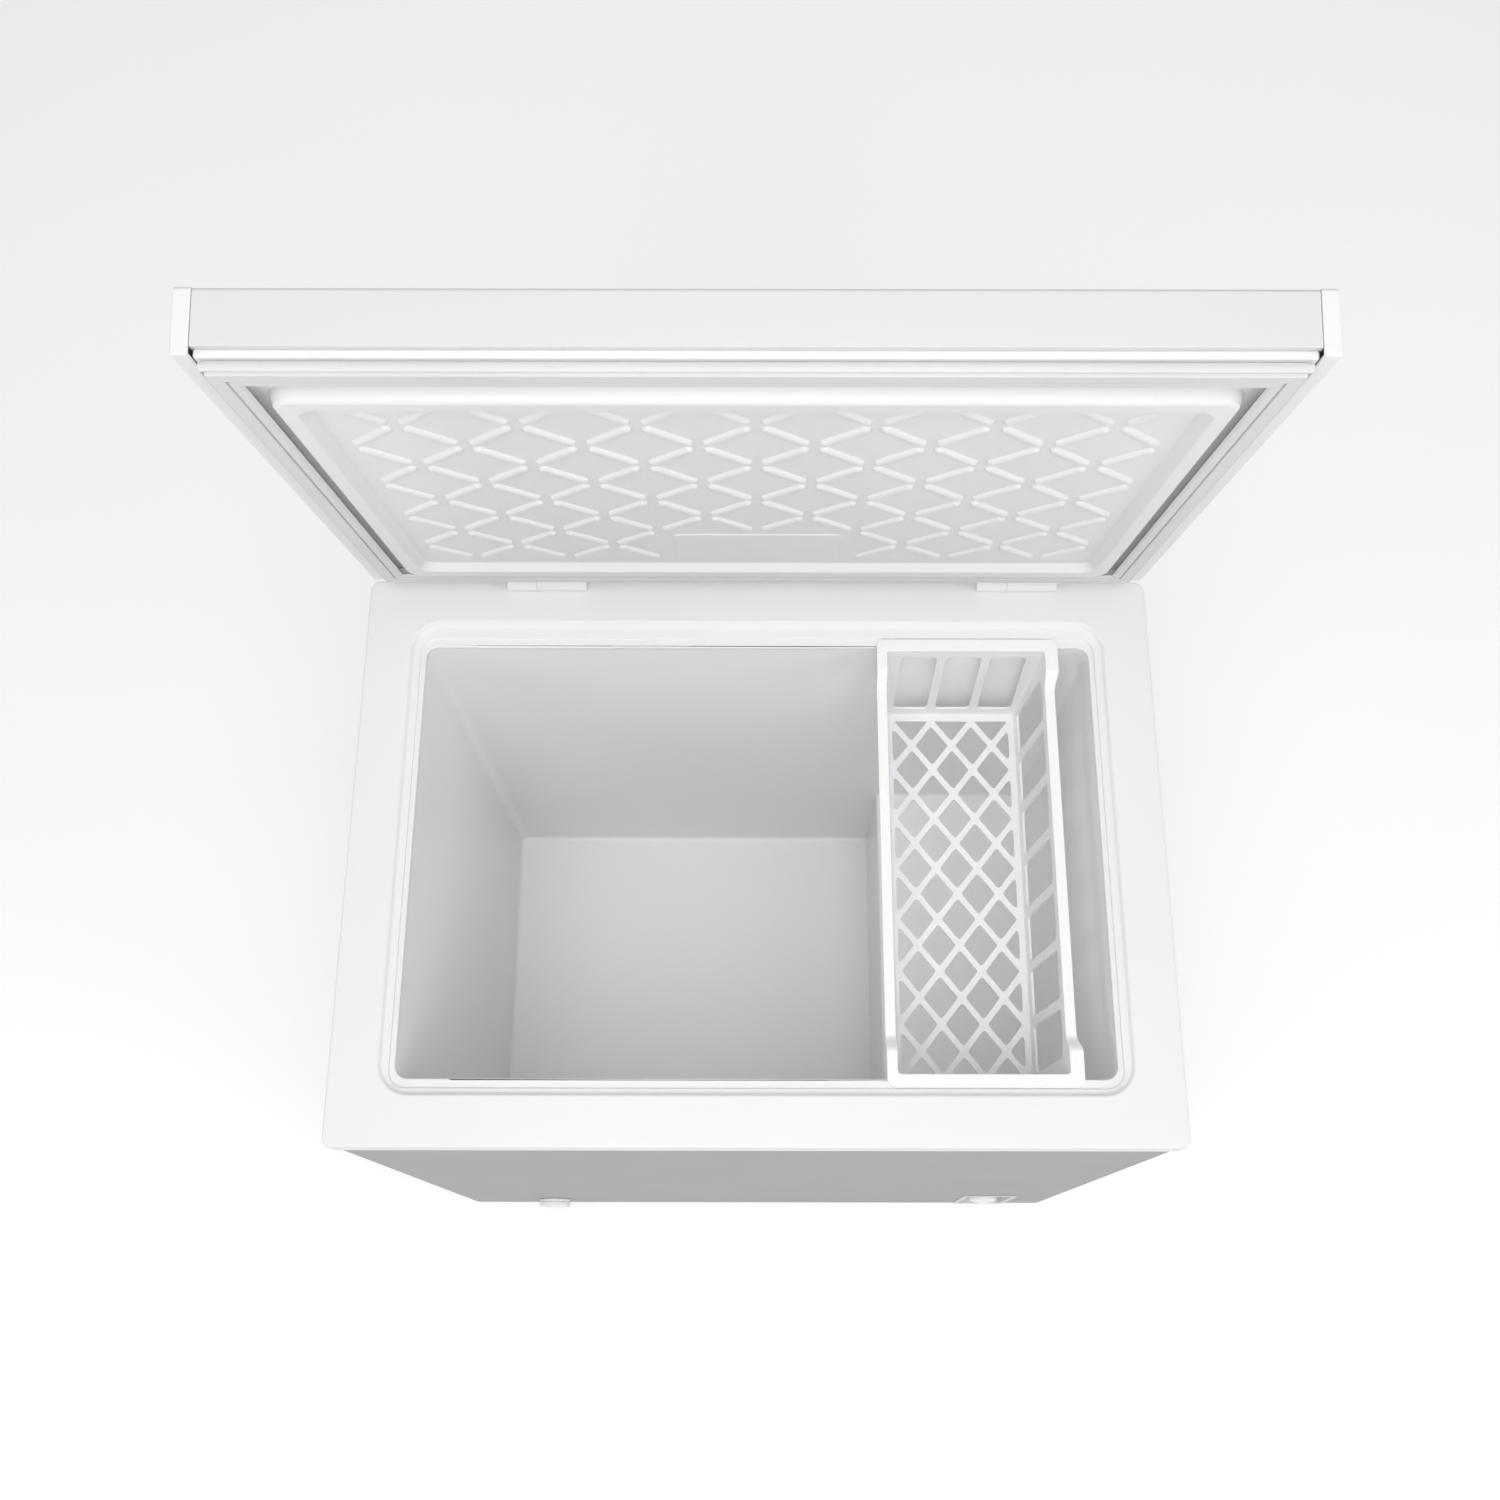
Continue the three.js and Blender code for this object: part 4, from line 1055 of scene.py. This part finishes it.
def compressor_cover():
    """The rear cover, with two columns of vent slots and the hole that holds the gland."""
    plan, bottom, top = measured("compressor_cover")
    plate = Rect(plan.left, plan.right, bottom, top, 6)
    body = loft([ring(plate, 0), ring(plate, 1.3), ring(plate.grown(-0.7), 2)])
    margin, rib = 26, 18
    slot_width = (plan.right - plan.left - 2 * margin - rib) / 2
    slot_height, row_pitch, first_slot = 7, 15, bottom + 56
    holes = []
    for row in range(9):
        for column in range(2):
            x = plan.left + margin + column * (slot_width + rib)
            z = first_slot + row * row_pitch
            corners = [(x, z), (x + slot_width, z), (x + slot_width, z + slot_height), (x, z + slot_height)]
            holes.append(prism(softened(corners, 3.4), -3, 6))
    gland_x, gland_z = centre_of("cord_gland")
    holes.append(prism(circle(gland_x, gland_z, 6.3), -3, 6))
    cover = facing_back(cut(body, merged(holes)), plan.front)
    return piece("rear_cover", cover, "compressor_cover", edge=0.3, segments=2)


def cord_gland():
    """The bush in the rear cover that a cord would leave by."""
    x, z = centre_of("cord_gland")
    plan, _, _ = measured("cord_gland")
    length = plan.back - plan.front
    flange = 8
    profile = [
        (3.6, 0), (6, 0), (6, length - flange), (9.6, length - flange), (10, length - flange + 0.6),
        (9.2, length - 3), (8.6, length - 2.6), (8, length - 0.6), (7.4, length), (4.2, length),
        (3.6, length - 0.8),
    ]
    bush = moved(hoop(profile), x, z)
    return piece("cord_bush", facing_back(bush, plan.front), "cord_gland")


def dress_kept_nodes():
    """Gives each CAD node that keeps its own shape its finished material."""
    for node, thing in frame["nodes"].items():
        if thing.hide_render:
            continue
        slot = slot_of_node(node)
        thing.data.materials.clear()
        thing.data.materials.append(LOOKS[slot])


# ---- the scene ----
def floor():
    """A wide plain floor in metres, faintly lit from within so that it stays pale to its edges."""
    half = 30
    pale = (0.93, 0.93, 0.93)
    points = outline(Rect(-half, half, -half, half, 1))
    shape = bmesh.new()
    shape.faces.new([shape.verts.new((x, y, 0)) for x, y in points])
    ground = as_object(shape, "studio_floor")
    made = material("pale_floor", pale, 0.9, Emission_Color=(1, 1, 1, 1), Emission_Strength=0.22)
    vary_colour(made, noise(made, 2), pale, (0.925, 0.925, 0.925))
    ground.data.materials.append(made)


def softbox(name, place, target, size, watts):
    """A soft rectangular light, aimed from its place at a target, in metres."""
    data = bpy.data.lights.new(name, "AREA")
    data.shape = "RECTANGLE"
    data.size, data.size_y = size
    data.energy = watts
    thing = bpy.data.objects.new(name, data)
    thing.location = place
    thing.rotation_mode = "QUATERNION"
    thing.rotation_quaternion = (Vector(target) - Vector(place)).to_track_quat("-Z", "Y")
    bpy.context.scene.collection.objects.link(thing)


def lighting():
    """An even white surround, two lights overhead, one in front and one on each side."""
    world = bpy.data.worlds.new("studio")
    world.use_nodes = True
    surround = world.node_tree.nodes["Background"]
    surround.inputs["Color"].default_value = (1, 1, 1, 1)
    surround.inputs["Strength"].default_value = 0.41
    bpy.context.scene.world = world
    softbox("overhead_far", (0, -1.2, 6.0), (0, 0, 0.6), (3.0, 2.4), 58)
    softbox("overhead_near", (0, -0.6, 2.5), (0, 0, 0.8), (1.2, 0.9), 8)
    softbox("front", (0, -2.6, 4.2), (0, 0, 0.8), (2.8, 1.6), 26)
    softbox("left", (-3.0, -1.6, 2.7), (0, 0, 0.8), (1.8, 1.8), 20)
    softbox("right", (3.0, -1.6, 2.7), (0, 0, 0.8), (1.8, 1.8), 28)
    bpy.context.scene.view_settings.view_transform = "Standard"


def camera():
    """A little in front of the cabinet and well above the lid, looking steeply down towards the back."""
    data = bpy.data.cameras.new("camera")
    data.sensor_width = 36
    data.lens = 37.28
    data.shift_x = -0.00667
    data.shift_y = 0.0203
    thing = bpy.data.objects.new("camera", data)
    thing.location = (0.0038, -0.44474, 2.2519)
    thing.rotation_euler = (math.radians(18.8), 0, math.radians(0.1))
    bpy.context.scene.collection.objects.link(thing)
    bpy.context.scene.camera = thing


outer_shell()
rim_frame()
inner_liner()
lid_skin()
lid_cap("lid_end_cap_left", -1)
lid_cap("lid_end_cap_right", 1)
lid_liner()
lid_gasket()
for hinge_side in ("left", "right"):
    hinge_base(hinge_side)
    hinge_arm(hinge_side)
basket()
control_panel()
thermostat_knob()
knob_scale()
for lamp_node in LAMPS:
    lamp(lamp_node)
drain_bezel()
drain_dial()
drain_plug()
for foot_node in ("foot_front_left", "foot_front_right", "foot_rear_left", "foot_rear_right"):
    foot(foot_node)
compressor_cover()
cord_gland()
dress_kept_nodes()
floor()
lighting()
camera()
